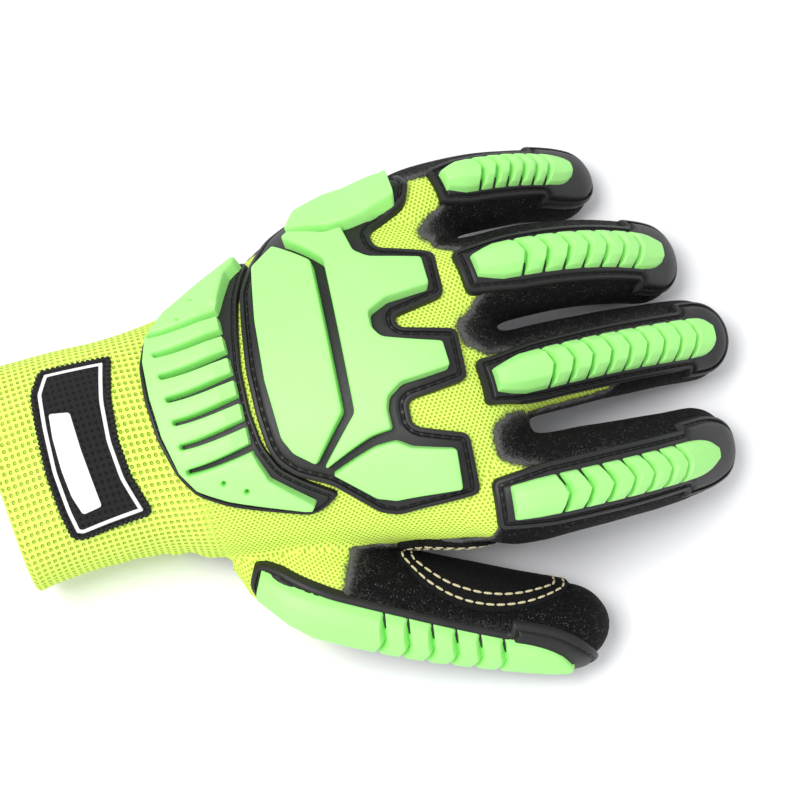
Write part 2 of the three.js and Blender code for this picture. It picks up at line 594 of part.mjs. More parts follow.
// The reinforcing patch sewn over the thumb crotch, on top of the coating
function crotchPatch() {
  const { from, to, upper, ends, lower } = CROTCH_PATCH;
  const { thumb } = digits;
  const edge = (u) => mix(ends, upper, Math.sin(clamp01((u - from) / (to - from)) * HALF_TURN) ** 0.5);
  const top = COAT_TOP + GAP + PATCH_WALL;
  const reach = sheet(steps(from, to, 9), (u) => steps(edge(u) * RAD, lower * RAD, 6),
    (u, turn) => thumb.ring(u, turn, -ROOT_DEPTH), (u, turn) => thumb.ring(u, turn, top + ROOT_DEPTH));
  const layer = hand(top, OUTSIDE).subtract(overCoat);
  return mainBody(layer.intersect(reach).subtract(fingerBases.thumb.clearance));
}

function laidGuard(guard, rows) {
  const outline = onGuard(guard, rows);
  return {
    base: laidOutline(palm, outline, -ROOT_DEPTH, GUARD_TOP),
    cover: laidOutline(palm, grown(outline, GAP), -ROOT_DEPTH, GUARD_TOP + GAP),
    clearance: laidOutline(palm, grown(outline, 1.5 * GAP), -ROOT_DEPTH, GUARD_TOP + GAP),
  };
}

const knuckle = laidGuard(KNUCKLE_GUARD, KNUCKLE_BASE);
const back = laidGuard(BACK_GUARD, BACK_BASE);
const handPad = (guard, rows, carrier) => mainBody(laidOutline(palm, onGuard(guard, rows),
  GUARD_TOP - ROOT_DEPTH, GUARD_TOP + GAP + HAND_PAD_HEIGHT, HAND_PAD_CHAMFER)
  .subtract(carrier.cover).subtract(overKnit));

// Finishes
const finish = (color, roughness) => new THREE.MeshStandardMaterial({ color, roughness, metalness: 0 });
const knitFinish = () => finish(0xd8ff3c, 0.85);
const coatFinish = () => finish(0x101010, 0.7);
const baseFinish = () => finish(0x2e2e2c, 0.55);
const padFinish = () => finish(0xb4fa98, 0.5);
const patchFinish = () => finish(0x151515, 0.8);
const labelFinish = () => finish(0x1f1f1f, 0.75);

const glove = new THREE.Group();
const addPiece = (name, solid, material) => {
  const mesh = new THREE.Mesh(toGeometry(solid), material);
  mesh.name = name;
  glove.add(mesh);
};

addPiece('knit_shell', knitShell(), knitFinish());
addPiece('palm_coating', palmCoating(), coatFinish());
addPiece('knuckle_guard_base', mainBody(knuckle.base.subtract(overKnit)), baseFinish());
Object.entries(KNUCKLE_PADS).forEach(([name, rows]) => {
  addPiece(name, handPad(KNUCKLE_GUARD, rows, knuckle), padFinish());
});
addPiece('hand_back_guard_base', mainBody(back.base.subtract(overKnit)), baseFinish());
addPiece('hand_back_pad', handPad(BACK_GUARD, combOutline(), back), padFinish());
Object.entries(FINGER_GUARDS).forEach(([name, guard]) => {
  const { base, cover } = fingerBases[name];
  const pad = guardPad(digits[name], guard).subtract(cover).subtract(overKnit);
  addPiece(`${name}_guard_base`, mainBody(base.subtract(overKnit)), baseFinish());
  addPiece(`${name}_guard_pad`, mainBody(pad), padFinish());
});
addPiece('thumb_crotch_patch', crotchPatch(), patchFinish());
addPiece('cuff_label', mainBody(laidOutline(palm, onGuard(LABEL, LABEL_OUTLINE), -ROOT_DEPTH,
  GAP + LABEL_WALL, 0, LABEL_EDGE).subtract(overKnit)), labelFinish());

glove.position.set(-MIDDLE_X, -MIDDLE_Y, 0);

export default glove;
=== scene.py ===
"""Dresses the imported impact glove: knit body, dipped coating, moulded guards and sewn pieces.

Lengths in the classes are millimetres in the glove's drawing frame: X runs from the cuff to the
fingertips, +Y to the little finger, +Z up out of the back of the hand. A mesh is moved by
MIDDLE and brought to metres when it is made.
"""

import logging
import math
from dataclasses import dataclass, field
from enum import Enum
from typing import Callable, Iterable, Sequence

import bmesh
import bpy
import numpy as np
from mathutils import Matrix, Quaternion, Vector
from mathutils.geometry import delaunay_2d_cdt


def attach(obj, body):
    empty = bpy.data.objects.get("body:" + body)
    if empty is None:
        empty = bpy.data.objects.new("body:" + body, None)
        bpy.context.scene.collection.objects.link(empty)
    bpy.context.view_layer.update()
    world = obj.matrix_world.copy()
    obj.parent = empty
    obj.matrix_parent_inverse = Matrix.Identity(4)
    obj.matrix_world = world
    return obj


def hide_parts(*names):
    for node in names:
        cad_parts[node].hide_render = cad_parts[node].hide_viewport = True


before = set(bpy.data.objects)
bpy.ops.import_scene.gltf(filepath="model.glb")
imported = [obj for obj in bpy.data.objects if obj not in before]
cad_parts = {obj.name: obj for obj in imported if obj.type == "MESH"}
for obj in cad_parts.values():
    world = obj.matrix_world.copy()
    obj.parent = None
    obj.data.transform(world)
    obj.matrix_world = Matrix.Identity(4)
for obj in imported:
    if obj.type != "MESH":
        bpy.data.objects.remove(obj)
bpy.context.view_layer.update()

log = logging.getLogger("impact_glove")

MM = 0.001
MIDDLE = np.array([6.44, 10.03, 0.0])
# height of the knit's underside over the ground, which leaves room for the coating
COAT_TOP = 1.2
TURN = 2 * math.pi
# level lines start this far inside an outline
SLIGHT = 1e-3
RAD = math.pi / 180.0

Array = np.ndarray
Layer = Callable[[Array, Array, Array], Array]
Run = tuple[Array, Array, Array]


def smooth(t: Array) -> Array:
    """Cubic step of t held to 0..1: 3t^2 - 2t^3."""
    t = np.clip(t, 0.0, 1.0)
    return t * t * (3.0 - 2.0 * t)


def mix(a: float | Array, b: float | Array, t: float | Array) -> float | Array:
    """Straight blend from a to b."""
    return a + (b - a) * t


def unit(v: Array) -> Array:
    """Vectors brought to length 1 along the last axis."""
    return v / np.maximum(np.linalg.norm(v, axis=-1, keepdims=True), 1e-12)


def signed_power(value: Array, power: float | Array) -> Array:
    """Power of a value's size, with the value's sign."""
    return np.sign(value) * np.abs(value) ** power


def soft_noise(p: Array, pitch: float, seed: float = 0.0) -> Array:
    """Smooth wandering value in about -1..1: a mean of sines of skewed coordinates over pitch.

    Args:
        p: points in millimetres.
        pitch: size of its features.
        seed: shift of the waves.
    Returns:
        One value for each point.
    """
    x, y, z = (p[..., i] / pitch for i in range(3))
    total = np.sin(2.1 * x + 1.3 * y + seed) + np.sin(-1.7 * x + 2.3 * y + 1.1 * z + 2.0 * seed)
    total += np.sin(1.9 * z - 2.6 * y + 0.7 * x + 3.0 * seed) + np.sin(3.7 * x - 0.4 * z + seed)
    return total / 4.0


@dataclass(frozen=True)
class PalmForm:
    """The palm and cuff: a loft of superellipse sections, and distances over its surface."""

    cuff: float = -116.0
    length: float = 148.0
    breadth: float = 109.0
    height: float = 62.0
    web: float = 17.0
    # what is left of the half width, the half depth and the ellipse at the end of the web
    web_wide: float = 0.5
    web_deep: float = 0.2
    web_least: float = 0.02
    # along, thumb, little, top, bottom, crest, droop, power
    sections: tuple[tuple[float, ...], ...] = (
        (0.000, -0.143, 0.472, 0.758, 0.024, 0.165, 0.0000, 2.1),
        (0.135, -0.142, 0.463, 0.798, 0.010, 0.156, 0.0000, 2.1),
        (0.264, -0.161, 0.445, 0.839, -0.020, 0.128, 0.0005, 2.2),
        (0.392, -0.239, 0.454, 0.879, -0.030, 0.092, 0.0015, 2.3),
        (0.547, -0.303, 0.514, 0.927, 0.050, 0.037, 0.0028, 2.4),
        (0.703, -0.352, 0.578, 0.976, 0.240, 0.000, 0.0035, 2.6),
        (0.838, -0.415, 0.592, 0.985, 0.380, -0.018, 0.0034, 2.7),
        (1.000, -0.425, 0.573, 0.890, 0.440, -0.018, 0.0030, 2.7),
    )

    @property
    def front(self) -> float:
        """Where the palm ends between the fingers."""
        return self.cuff + self.length

    def section(self, x: Array) -> list[Array]:
        """Section values at x by Hermite pieces with Catmull-Rom slopes.

        Args:
            x: distances along the hand.
        Returns:
            thumb, little, top, bottom, crest, droop and power at each x.
        """
        rows = np.array(self.sections)
        knots, table = rows[:, 0], rows[:, 1:]
        before = np.maximum(np.arange(len(rows)) - 1, 0)
        after = np.minimum(np.arange(len(rows)) + 1, len(rows) - 1)
        slope = (table[after] - table[before]) / (knots[after] - knots[before])[:, None]
        at = (np.minimum(x, self.front) - self.cuff) / self.length
        i = np.clip(np.searchsorted(knots, at, side="right") - 1, 0, len(rows) - 2)
        span = (knots[i + 1] - knots[i])[..., None]
        t = np.clip((at - knots[i])[..., None] / span, 0.0, 1.0)
        value = table[i] * (1 + 2 * t) * (1 - t) ** 2 + table[i + 1] * t * t * (3 - 2 * t)
        value = value + span * (slope[i] * t * (1 - t) ** 2 - slope[i + 1] * t * t * (1 - t))
        scale = np.array([self.breadth, self.breadth, self.height, self.height, self.breadth, 1, 1])
        return [value[..., k] * scale[k] for k in range(7)]

    def halves(self, x: Array, h: Array | float) -> tuple[Array, ...]:
        """Middle and half sizes of the section, closing like an ellipse over the web.

        Args:
            x: distances along the hand.
            h: height over the knit.
        Returns:
            Middle across, middle up, half width, half depth, crest, droop and power.
        """
        thumb, little, top, bottom, crest, droop, power = self.section(x)
        start = self.front - self.web
        f = np.clip((x - start) / (self.web + h), 0.0, 1.0)
        close = np.sqrt(np.maximum(1 - f * f, self.web_least))
        wide = ((little - thumb) / 2 + h) * mix(self.web_wide, 1.0, close)
        deep = ((top - bottom) / 2 + h) * mix(self.web_deep, 1.0, close)
        return (little + thumb) / 2, (top + bottom) / 2, wide, deep, crest, droop, power

    def ring(self, x: Array, turn: Array, h: Array | float) -> Array:
        """Points on the layer h outside the knit.

        The section is y = cy + wide * sin^(2/p), z = cz + deep * cos^(2/p) - droop (y - crest)^2.
        Args:
            x: distances along the hand.
            turn: angle from the back of the hand, a quarter turn at the little finger side.
            h: height over the knit.
        Returns:
            Points, with the last axis x, y, z.
        """
        cy, cz, wide, deep, crest, droop, power = self.halves(x, h)
        y = cy + wide * signed_power(np.sin(turn), 2 / power)
        z = cz + deep * signed_power(np.cos(turn), 2 / power) - droop * (y - crest) ** 2
        return np.stack(np.broadcast_arrays(x, y, z), -1)

    def clear_of(self, p: Array, h: Array) -> Array:
        """Points raised to the layer h over the back of the hand where they lie below it."""
        x, y = p[..., 0], p[..., 1]
        cy, cz, wide, deep, crest, droop, power = self.halves(x, h)
        off = np.abs(y - cy) / wide
        crown = deep * np.maximum(1 - np.minimum(off, 1.0) ** power, 0.0) ** (1 / power)
        level = cz + crown - droop * (y - crest) ** 2
        z = np.where((off < 1) & (x < self.front), np.maximum(p[..., 2], level), p[..., 2])
        return np.concatenate([p[..., :2], z[..., None]], -1)

    def inside(self, p: Array) -> tuple[Array, Array, Array]:
        """Where points lie against the palm's surface.

        Args:
            p: points.
        Returns:
            Rough distance outside the surface, x, and the turn of each point.
        """
        x = p[:, 0]
        cy, cz, wide, deep, crest, droop, power = self.halves(x, 0.0)
        a = (p[:, 1] - cy) / wide
        b = (p[:, 2] + droop * (p[:, 1] - crest) ** 2 - cz) / deep
        level = (np.abs(a) ** power + np.abs(b) ** power) ** (1 / power)
        turn = np.arctan2(signed_power(a, power / 2), signed_power(b, power / 2))
        away = (level - 1) * np.minimum(wide, deep)
        return np.maximum(away, x - self.front), x, turn


class PalmCover:
    """Looks up points over the back of the hand by distance along and across the surface."""

    def __init__(self, form: PalmForm) -> None:
        """Tabulates the sections, one a millimetre, by running length from the hand's back."""
        self.xs = np.arange(form.cuff - 8, form.front + 4.01, 1.0)
        self.arcs = np.arange(-95, 95.01, 1.0)
        turns = np.linspace(-math.pi, math.pi, 181)
        rings = form.ring(self.xs[:, None], turns[None, :], 0.0)
        steps = np.linalg.norm(np.diff(rings, axis=1), axis=2)
        run = np.concatenate([np.zeros((len(self.xs), 1)), np.cumsum(steps, axis=1)], axis=1)
        run -= run[:, 90:91]
        self.run = run
        self.grid = np.stack([
            np.stack([np.interp(self.arcs, run[i], rings[i, :, k]) for k in range(3)], -1)
            for i in range(len(self.xs))])

    def here(self, x: Array, across: Array) -> Array:
        """Points on the knit by bilinear look-up.

        Args:
            x: distances along the hand.
            across: distances round it from the hand's back.
        Returns:
            The points.
        """
        i = np.clip(x - self.xs[0], 0, len(self.xs) - 1.001)
        j = np.clip(across - self.arcs[0], 0, len(self.arcs) - 1.001)
        i0, j0 = i.astype(int), j.astype(int)
        s, t = (i - i0)[..., None], (j - j0)[..., None]
        g = self.grid
        near = mix(g[i0, j0], g[i0, j0 + 1], t)
        far = mix(g[i0 + 1, j0], g[i0 + 1, j0 + 1], t)
        return mix(near, far, s)

    def over(self, x: Array, across: Array, h: Array) -> Array:
        """Points h out of the surface along its normal, from central differences 1.5 mm apart."""
        along = self.here(x + 1.5, across) - self.here(x - 1.5, across)
        side = self.here(x, across + 1.5) - self.here(x, across - 1.5)
        return self.here(x, across) + unit(np.cross(along, side)) * np.asarray(h)[..., None]

    def arc_at(self, x: Array, turn: Array) -> Array:
        """Running length from the hand's back at each x and turn."""
        i = np.clip(np.round(x - self.xs[0]).astype(int), 0, len(self.xs) - 1)
        j = np.clip((turn + math.pi) / TURN * 180, 0, 179.999)
        j0 = j.astype(int)
        return mix(self.run[i, j0], self.run[i, j0 + 1], j - j0)


@dataclass
class DigitForm:
    """A finger or thumb: a tapering tube along a curling middle line, round at its tip."""

    name: str
    behind: float
    across: float
    up: float
    yaw: float
    pitch: float
    roll: float
    bend: float
    length: float
    wide: tuple[float, float]
    deep: tuple[float, float]
    heel: float = 14.0
    heel_share: float = 0.8

    def __post_init__(self) -> None:
        """Sets the root's axes and tabulates the middle line every half millimetre."""
        palm = PalmForm()
        y, p, r = self.yaw * RAD, self.pitch * RAD, self.roll * RAD
        self.root = np.array([palm.front - self.behind, self.across * palm.breadth,
                              self.up * palm.height])
        self.ahead = np.array([math.cos(y) * math.cos(p), math.sin(y) * math.cos(p), math.sin(p)])
        left = np.array([-math.sin(y), math.cos(y), 0.0])
        above = np.cross(self.ahead, left)
        self.side = left * math.cos(r) - above * math.sin(r)
        self.back = above * math.cos(r) + left * math.sin(r)
        self.dome = 1.05 * self.wide[1]
        self.skin = self.length - self.dome + self.dome * math.pi / 2
        self.s = np.arange(-6.0, self.length + 4.01, 0.5)
        ahead, _ = self.axes((self.s[:-1] + self.s[1:]) / 2)
        line = np.concatenate([np.zeros((1, 3)), np.cumsum(ahead * 0.5, axis=0)])
        self.line = line - line[12] + self.root

    def axes(self, s: Array) -> tuple[Array, Array]:
        """Directions ahead and up at distance s: the root's axes turned by the curl so far."""
        turned = self.bend * RAD * smooth(s / self.length)
        c, d = np.cos(turned)[..., None], np.sin(turned)[..., None]
        return self.ahead * c - self.back * d, self.back * c + self.ahead * d

    def centre(self, s: Array) -> Array:
        """Points on the middle line."""
        return look_up(s, self.s, self.line)

    def half_sizes(self, s: Array) -> tuple[Array, Array]:
        """Half width and half depth of the knit at distance s."""
        t = np.clip(s / self.length, 0, 1)
        grow = mix(self.heel_share, 1.0, np.sin(np.clip(s / self.heel, 0, 1) * math.pi / 2))
        return mix(*self.wide, t) * grow, mix(*self.deep, t) * grow

    def ring(self, u: Array, turn: Array, h: Array | float) -> Array:
        """Points on the layer h outside the knit.

        Before the dome the section is an ellipse at s = u. On the dome s = start + dome sin(psi)
        and both half sizes shrink with cos(psi).
        Args:
            u: distances along the skin.
            turn: angle round from the digit's back.
            h: height over the knit.
        Returns:
            Points, with the last axis x, y, z.
        """
        u, turn, h = np.broadcast_arrays(u, turn, h)
        start = self.length - self.dome
        psi = np.clip((u - start) / self.dome, 0, math.pi / 2)
        s = np.where(psi > 0, start + self.dome * np.sin(psi), u)
        ahead, up = self.axes(s)
        wide, deep = self.half_sizes(s)
        return (self.centre(s)
                + self.side * ((wide + h) * np.sin(turn) * np.cos(psi))[..., None]
                + up * ((deep + h) * np.cos(turn) * np.cos(psi))[..., None]
                + ahead * (h * np.sin(psi))[..., None])

    def over(self, u: Array, across: Array, h: Array) -> Array:
        """Points over the back of the digit, across being the distance round the layer h."""
        wide, deep = self.half_sizes(u)
        return self.ring(u, across / ((wide + deep) / 2 + h), h)

    def inside(self, p: Array) -> tuple[Array, Array, Array]:
        """Where points lie against the digit's surface.

        Args:
            p: points.
        Returns:
            Rough distance outside the surface, the distance u along the skin, and the turn.
        """
        best = np.full(len(p), 1e18)
        nearest = np.zeros(len(p), int)
        for k in range(0, len(self.s), 3):
            d = ((p - self.line[k]) ** 2).sum(1)
            closer = d < best
            best[closer], nearest[closer] = d[closer], k
        s = self.s[nearest]
        ahead, _ = self.axes(s)
        s = s + ((p - self.line[nearest]) * ahead).sum(1)
        _, up = self.axes(s)
        rel = p - self.centre(s)
        start = self.length - self.dome
        psi = np.arcsin(np.clip((s - start) / self.dome, 0, 1))
        wide, deep = self.half_sizes(s)
        a, b = (rel * self.side).sum(1) / wide, (rel * up).sum(1) / deep
        radial = np.sqrt(a * a + b * b)
        beyond = np.clip((s - start) / self.dome, 0, None)
        level = np.sqrt(radial ** 2 + beyond ** 2)
        away = np.maximum((level - 1) * np.minimum(wide, deep), -s)
        return away, np.where(psi > 0, start + self.dome * psi, s), np.arctan2(a, b)


PALM = PalmForm()
COVER = PalmCover(PALM)
DIGITS = {d.name: d for d in (
    DigitForm("little_finger", 22, 0.492, 0.629, 6.4, -13.2, 16, 33, 77.8, (11.8, 10.2),
              (11.0, 9.0)),
    DigitForm("ring_finger", 24, 0.229, 0.742, 2.1, -5.6, 8, 44.2, 97.6, (13.2, 11.8), (12.2, 9.8)),
    DigitForm("middle_finger", 24, -0.035, 0.742, 0.8, -14.9, 4, 19, 101.8, (12.6, 11.6),
              (12.4, 10.0)),
    DigitForm("index_finger", 24, -0.320, 0.702, -7.9, -2.2, -16, 52.4, 94, (15.0, 11.6),
              (12.4, 10.0), 16.0, 0.66),
    DigitForm("thumb", 93, -0.243, 0.371, -31.5, -4.4, -62, 8, 112, (17.0, 11.3), (14.2, 10.2),
              32.0, 0.15),
)}


@dataclass
class Skin:
    """A mesh as arrays: points in millimetres, faces, a UV per corner, and point values."""

    points: Array
    faces: list[tuple[int, ...]] | Array
    uv: Array | None = None
    values: dict[str, Array] = field(default_factory=dict)

    def area(self) -> float:
        """Surface in square millimetres, each face taken as a fan from its first corner."""
        total = 0.0
        for k in range(1, len(self.faces[0]) - 1):
            a, b, c = (self.points[self.faces[:, i]] for i in (0, k, k + 1))
            total += float(np.linalg.norm(np.cross(b - a, c - a), axis=1).sum() / 2)
        return total

    def with_plates(self, rings: Sequence[Array]) -> "Skin":
        """The mesh with a flat plate added on each ring of points.

        Args:
            rings: the plates' corners, in order.
        Returns:
            The new mesh.
        """
        faces = [tuple(face) for face in np.asarray(self.faces).tolist()]
        count = len(self.points)
        for ring in rings:
            faces.append(tuple(range(count, count + len(ring))))
            count += len(ring)
        edge = np.concatenate([self.values["edge"], np.zeros(count - len(self.points))])
        return Skin(np.concatenate([self.points, *rings]), faces,
                    np.concatenate([self.uv, *(ring[:, :2] for ring in rings)]), {"edge": edge})


def corner_uv(faces: Iterable[Sequence[int]], uv: Array) -> Array:
    """A UV per face corner from a UV per point."""
    return uv[np.concatenate([np.asarray(f) for f in faces])]


def make_piece(name: str, skin: Skin, material: bpy.types.Material,
               nodes: Sequence[str]) -> bpy.types.Object:
    """Puts a skin into the scene as a finished piece that rides on the glove.

    Args:
        name: the piece's name.
        skin: its arrays.
        material: its finish.
        nodes: the CAD nodes it stands for.
    Returns:
        The object.
    """
    mesh = bpy.data.meshes.new(name)
    faces = skin.faces.tolist() if isinstance(skin.faces, np.ndarray) else skin.faces
    mesh.from_pydata(((skin.points + MIDDLE) * MM).tolist(), [], faces)
    mesh.polygons.foreach_set("use_smooth", np.ones(len(mesh.polygons), bool))
    if skin.uv is not None:
        layer = mesh.uv_layers.new(name="surface")
        layer.data.foreach_set("uv", skin.uv.astype(np.float32).ravel())
    for key, value in skin.values.items():
        layer = mesh.attributes.new(key, "FLOAT", "POINT")
        layer.data.foreach_set("value", value.astype(np.float32))
    mesh.update()
    obj = bpy.data.objects.new(name, mesh)
    bpy.context.scene.collection.objects.link(obj)
    mesh.materials.append(material)
    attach(obj, "root")
    if nodes:
        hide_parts(*nodes)
    log.info("%s: %d faces", name, len(mesh.polygons))
    return obj


def crease(obj: bpy.types.Object, degrees: float) -> None:
    """Marks edges sharper than the angle as sharp, so that flat facets stay crisp."""
    obj.data.set_sharp_from_angle(angle=degrees * RAD)


def grid_faces(rows: int, columns: int, around: bool = False) -> Array:
    """Quads of a grid of points, closed across its columns if around."""
    i, j = np.meshgrid(np.arange(rows - 1), np.arange(columns if around else columns - 1),
                       indexing="ij")
    k = (j + 1) % columns
    near, far = i * columns, (i + 1) * columns
    return np.stack([near + j, near + k, far + k, far + j], -1).reshape(-1, 4)


def closed_tube(rings: Array) -> tuple[Array, list[tuple[int, ...]]]:
    """Points and faces of a tube through rings, with a fan over each end.

    Args:
        rings: rows of points round the tube.
    Returns:
        Its points and its faces.
    """
    rows, sides, _ = rings.shape
    points = np.concatenate([rings.reshape(-1, 3), rings[:1].mean(1), rings[-1:].mean(1)])
    faces = [tuple(q) for q in grid_faces(rows, sides, True).tolist()]
    hub = rows * sides
    last = (rows - 1) * sides
    faces += [(hub, (j + 1) % sides, j) for j in range(sides)]
    faces += [(hub + 1, last + j, last + (j + 1) % sides) for j in range(sides)]
    return points, faces


def point_normals(points: Array, faces: Array) -> Array:
    """Area-weighted normals of a mesh of quads."""
    a, b, c, d = (points[faces[:, k]] for k in range(4))
    n = np.cross(c - a, d - b)
    total = np.zeros_like(points)
    for k in range(4):
        np.add.at(total, faces[:, k], n)
    return unit(total)


def neighbour_mean(values: Array, edges: Array, count: int) -> Array:
    """Mean of each point's neighbours over the mesh's edges.

    Args:
        values: a value or a vector for each point.
        edges: pairs of point numbers.
        count: the number of points.
    Returns:
        The means.
    """
    total = np.zeros((count,) + values.shape[1:])
    degree = np.bincount(edges.ravel(), minlength=count).astype(float)
    np.add.at(total, edges[:, 0], values[edges[:, 1]])
    np.add.at(total, edges[:, 1], values[edges[:, 0]])
    return total / np.maximum(degree, 1).reshape((-1,) + (1,) * (values.ndim - 1))


def quad_sides(faces: Array) -> Array:
    """The four sides of each quad, as pairs of point numbers in its winding."""
    return np.concatenate([faces[:, [k, (k + 1) % 4]] for k in range(4)])


def quad_edges(faces: Array) -> Array:
    """Each edge of a mesh of quads once."""
    return np.unique(np.sort(quad_sides(faces), axis=1), axis=0)


def open_sides(faces: Array) -> Array:
    """The sides that only one quad has, in its winding."""
    pairs = quad_sides(faces)
    _, index, count = np.unique(np.sort(pairs, axis=1), axis=0, return_index=True,
                                return_counts=True)
    return pairs[index[count == 1]]


def chain_loops(segments: Array) -> list[Array]:
    """Strings segments of point numbers together.

    Args:
        segments: pairs of point numbers.
    Returns:
        Runs of point numbers, a closed one with its first number again at its end.
    """
    links: dict[int, list[int]] = {}
    for a, b in segments.tolist():
        links.setdefault(a, []).append(b)
        links.setdefault(b, []).append(a)
    runs = []
    ends = [k for k, v in links.items() if len(v) == 1]
    for start in ends + list(links):
        while links.get(start):
            run = [start]
            while links.get(run[-1]):
                here = run[-1]
                ahead = links[here].pop()
                links[ahead].remove(here)
                run.append(ahead)
            runs.append(np.array(run))
    return runs


def level_lines(values: Array, xs: Array, ys: Array, level: float) -> list[Array]:
    """Contours of a grid of values by marching squares.

    Args:
        values: one row for each x, one column for each y.
        xs: places of the rows.
        ys: places of the columns.
        level: the value to follow.
    Returns:
        Runs of points.
    """
    v = values - level
    v = np.where(np.abs(v) < 1e-6, 1e-6, v)
    nx, ny = v.shape
    points: list[Array] = []
    along = np.full((nx, ny), -1)
    across = np.full((nx, ny), -1)
    i, j = np.nonzero(v[:-1] * v[1:] < 0)
    t = v[i, j] / (v[i, j] - v[i + 1, j])
    along[i, j] = np.arange(len(i))
    points.append(np.stack([mix(xs[i], xs[i + 1], t), ys[j]], -1))
    i2, j2 = np.nonzero(v[:, :-1] * v[:, 1:] < 0)
    t = v[i2, j2] / (v[i2, j2] - v[i2, j2 + 1])
    across[i2, j2] = len(i) + np.arange(len(i2))
    points.append(np.stack([xs[i2], mix(ys[j2], ys[j2 + 1], t)], -1))
    sides = np.stack([along[:-1, :-1], across[1:, :-1], along[:-1, 1:], across[:-1, :-1]], -1)
    sides = sides.reshape(-1, 4)
    crossed = (sides >= 0).sum(1)
    two = sides[crossed == 2]
    segments = [np.sort(two, axis=1)[:, 2:]]
    four = sides[crossed == 4]
    segments += [four[:, [0, 1]], four[:, [2, 3]]]
    spots = np.concatenate(points)
    return [spots[run] for run in chain_loops(np.concatenate(segments)) if len(run) > 4]


def outline_distance(points: Array, loops: Sequence[Array]) -> Array:
    """Signed distance from closed outlines, positive inside them: nearest segment, odd crossings.

    Args:
        points: points of the plane.
        loops: closed outlines, holes among them.
    Returns:
        One distance for each point.
    """
    a = np.concatenate(loops)
    b = np.concatenate([np.roll(loop, -1, axis=0) for loop in loops])
    best = np.full(len(points), 1e18)
    odd = np.zeros(len(points), bool)
    for p, q in zip(a, b):
        edge = q - p
        t = np.clip(((points - p) @ edge) / max(edge @ edge, 1e-12), 0, 1)
        best = np.minimum(best, ((points - p - t[:, None] * edge) ** 2).sum(1))
        if p[1] != q[1]:
            over = (p[1] > points[:, 1]) != (q[1] > points[:, 1])
            odd ^= over & (points[:, 0] < p[0] + (points[:, 1] - p[1]) * edge[0] / edge[1])
    return np.where(odd, 1, -1) * np.sqrt(best)


def rounded(outline: Array, radius: float, arc_steps: int = 5) -> Array:
    """Closed outline with each corner cut back by radius and bridged by a quadratic curve.

    Args:
        outline: corners in order.
        radius: how far each corner is cut back.
        arc_steps: points on each curve.
    Returns:
        The new outline.
    """
    before, after = np.roll(outline, 1, axis=0), np.roll(outline, -1, axis=0)
    to_before, to_after = before - outline, after - outline
    cut = np.minimum(radius, 0.45 * np.minimum(np.linalg.norm(to_before, axis=1),
                                               np.linalg.norm(to_after, axis=1)))[:, None]
    start, end = outline + unit(to_before) * cut, outline + unit(to_after) * cut
    t = np.linspace(0, 1, arc_steps)[None, :, None]
    curve = (1 - t) ** 2 * start[:, None] + 2 * t * (1 - t) * outline[:, None]
    return (curve + t * t * end[:, None]).reshape(-1, 2)


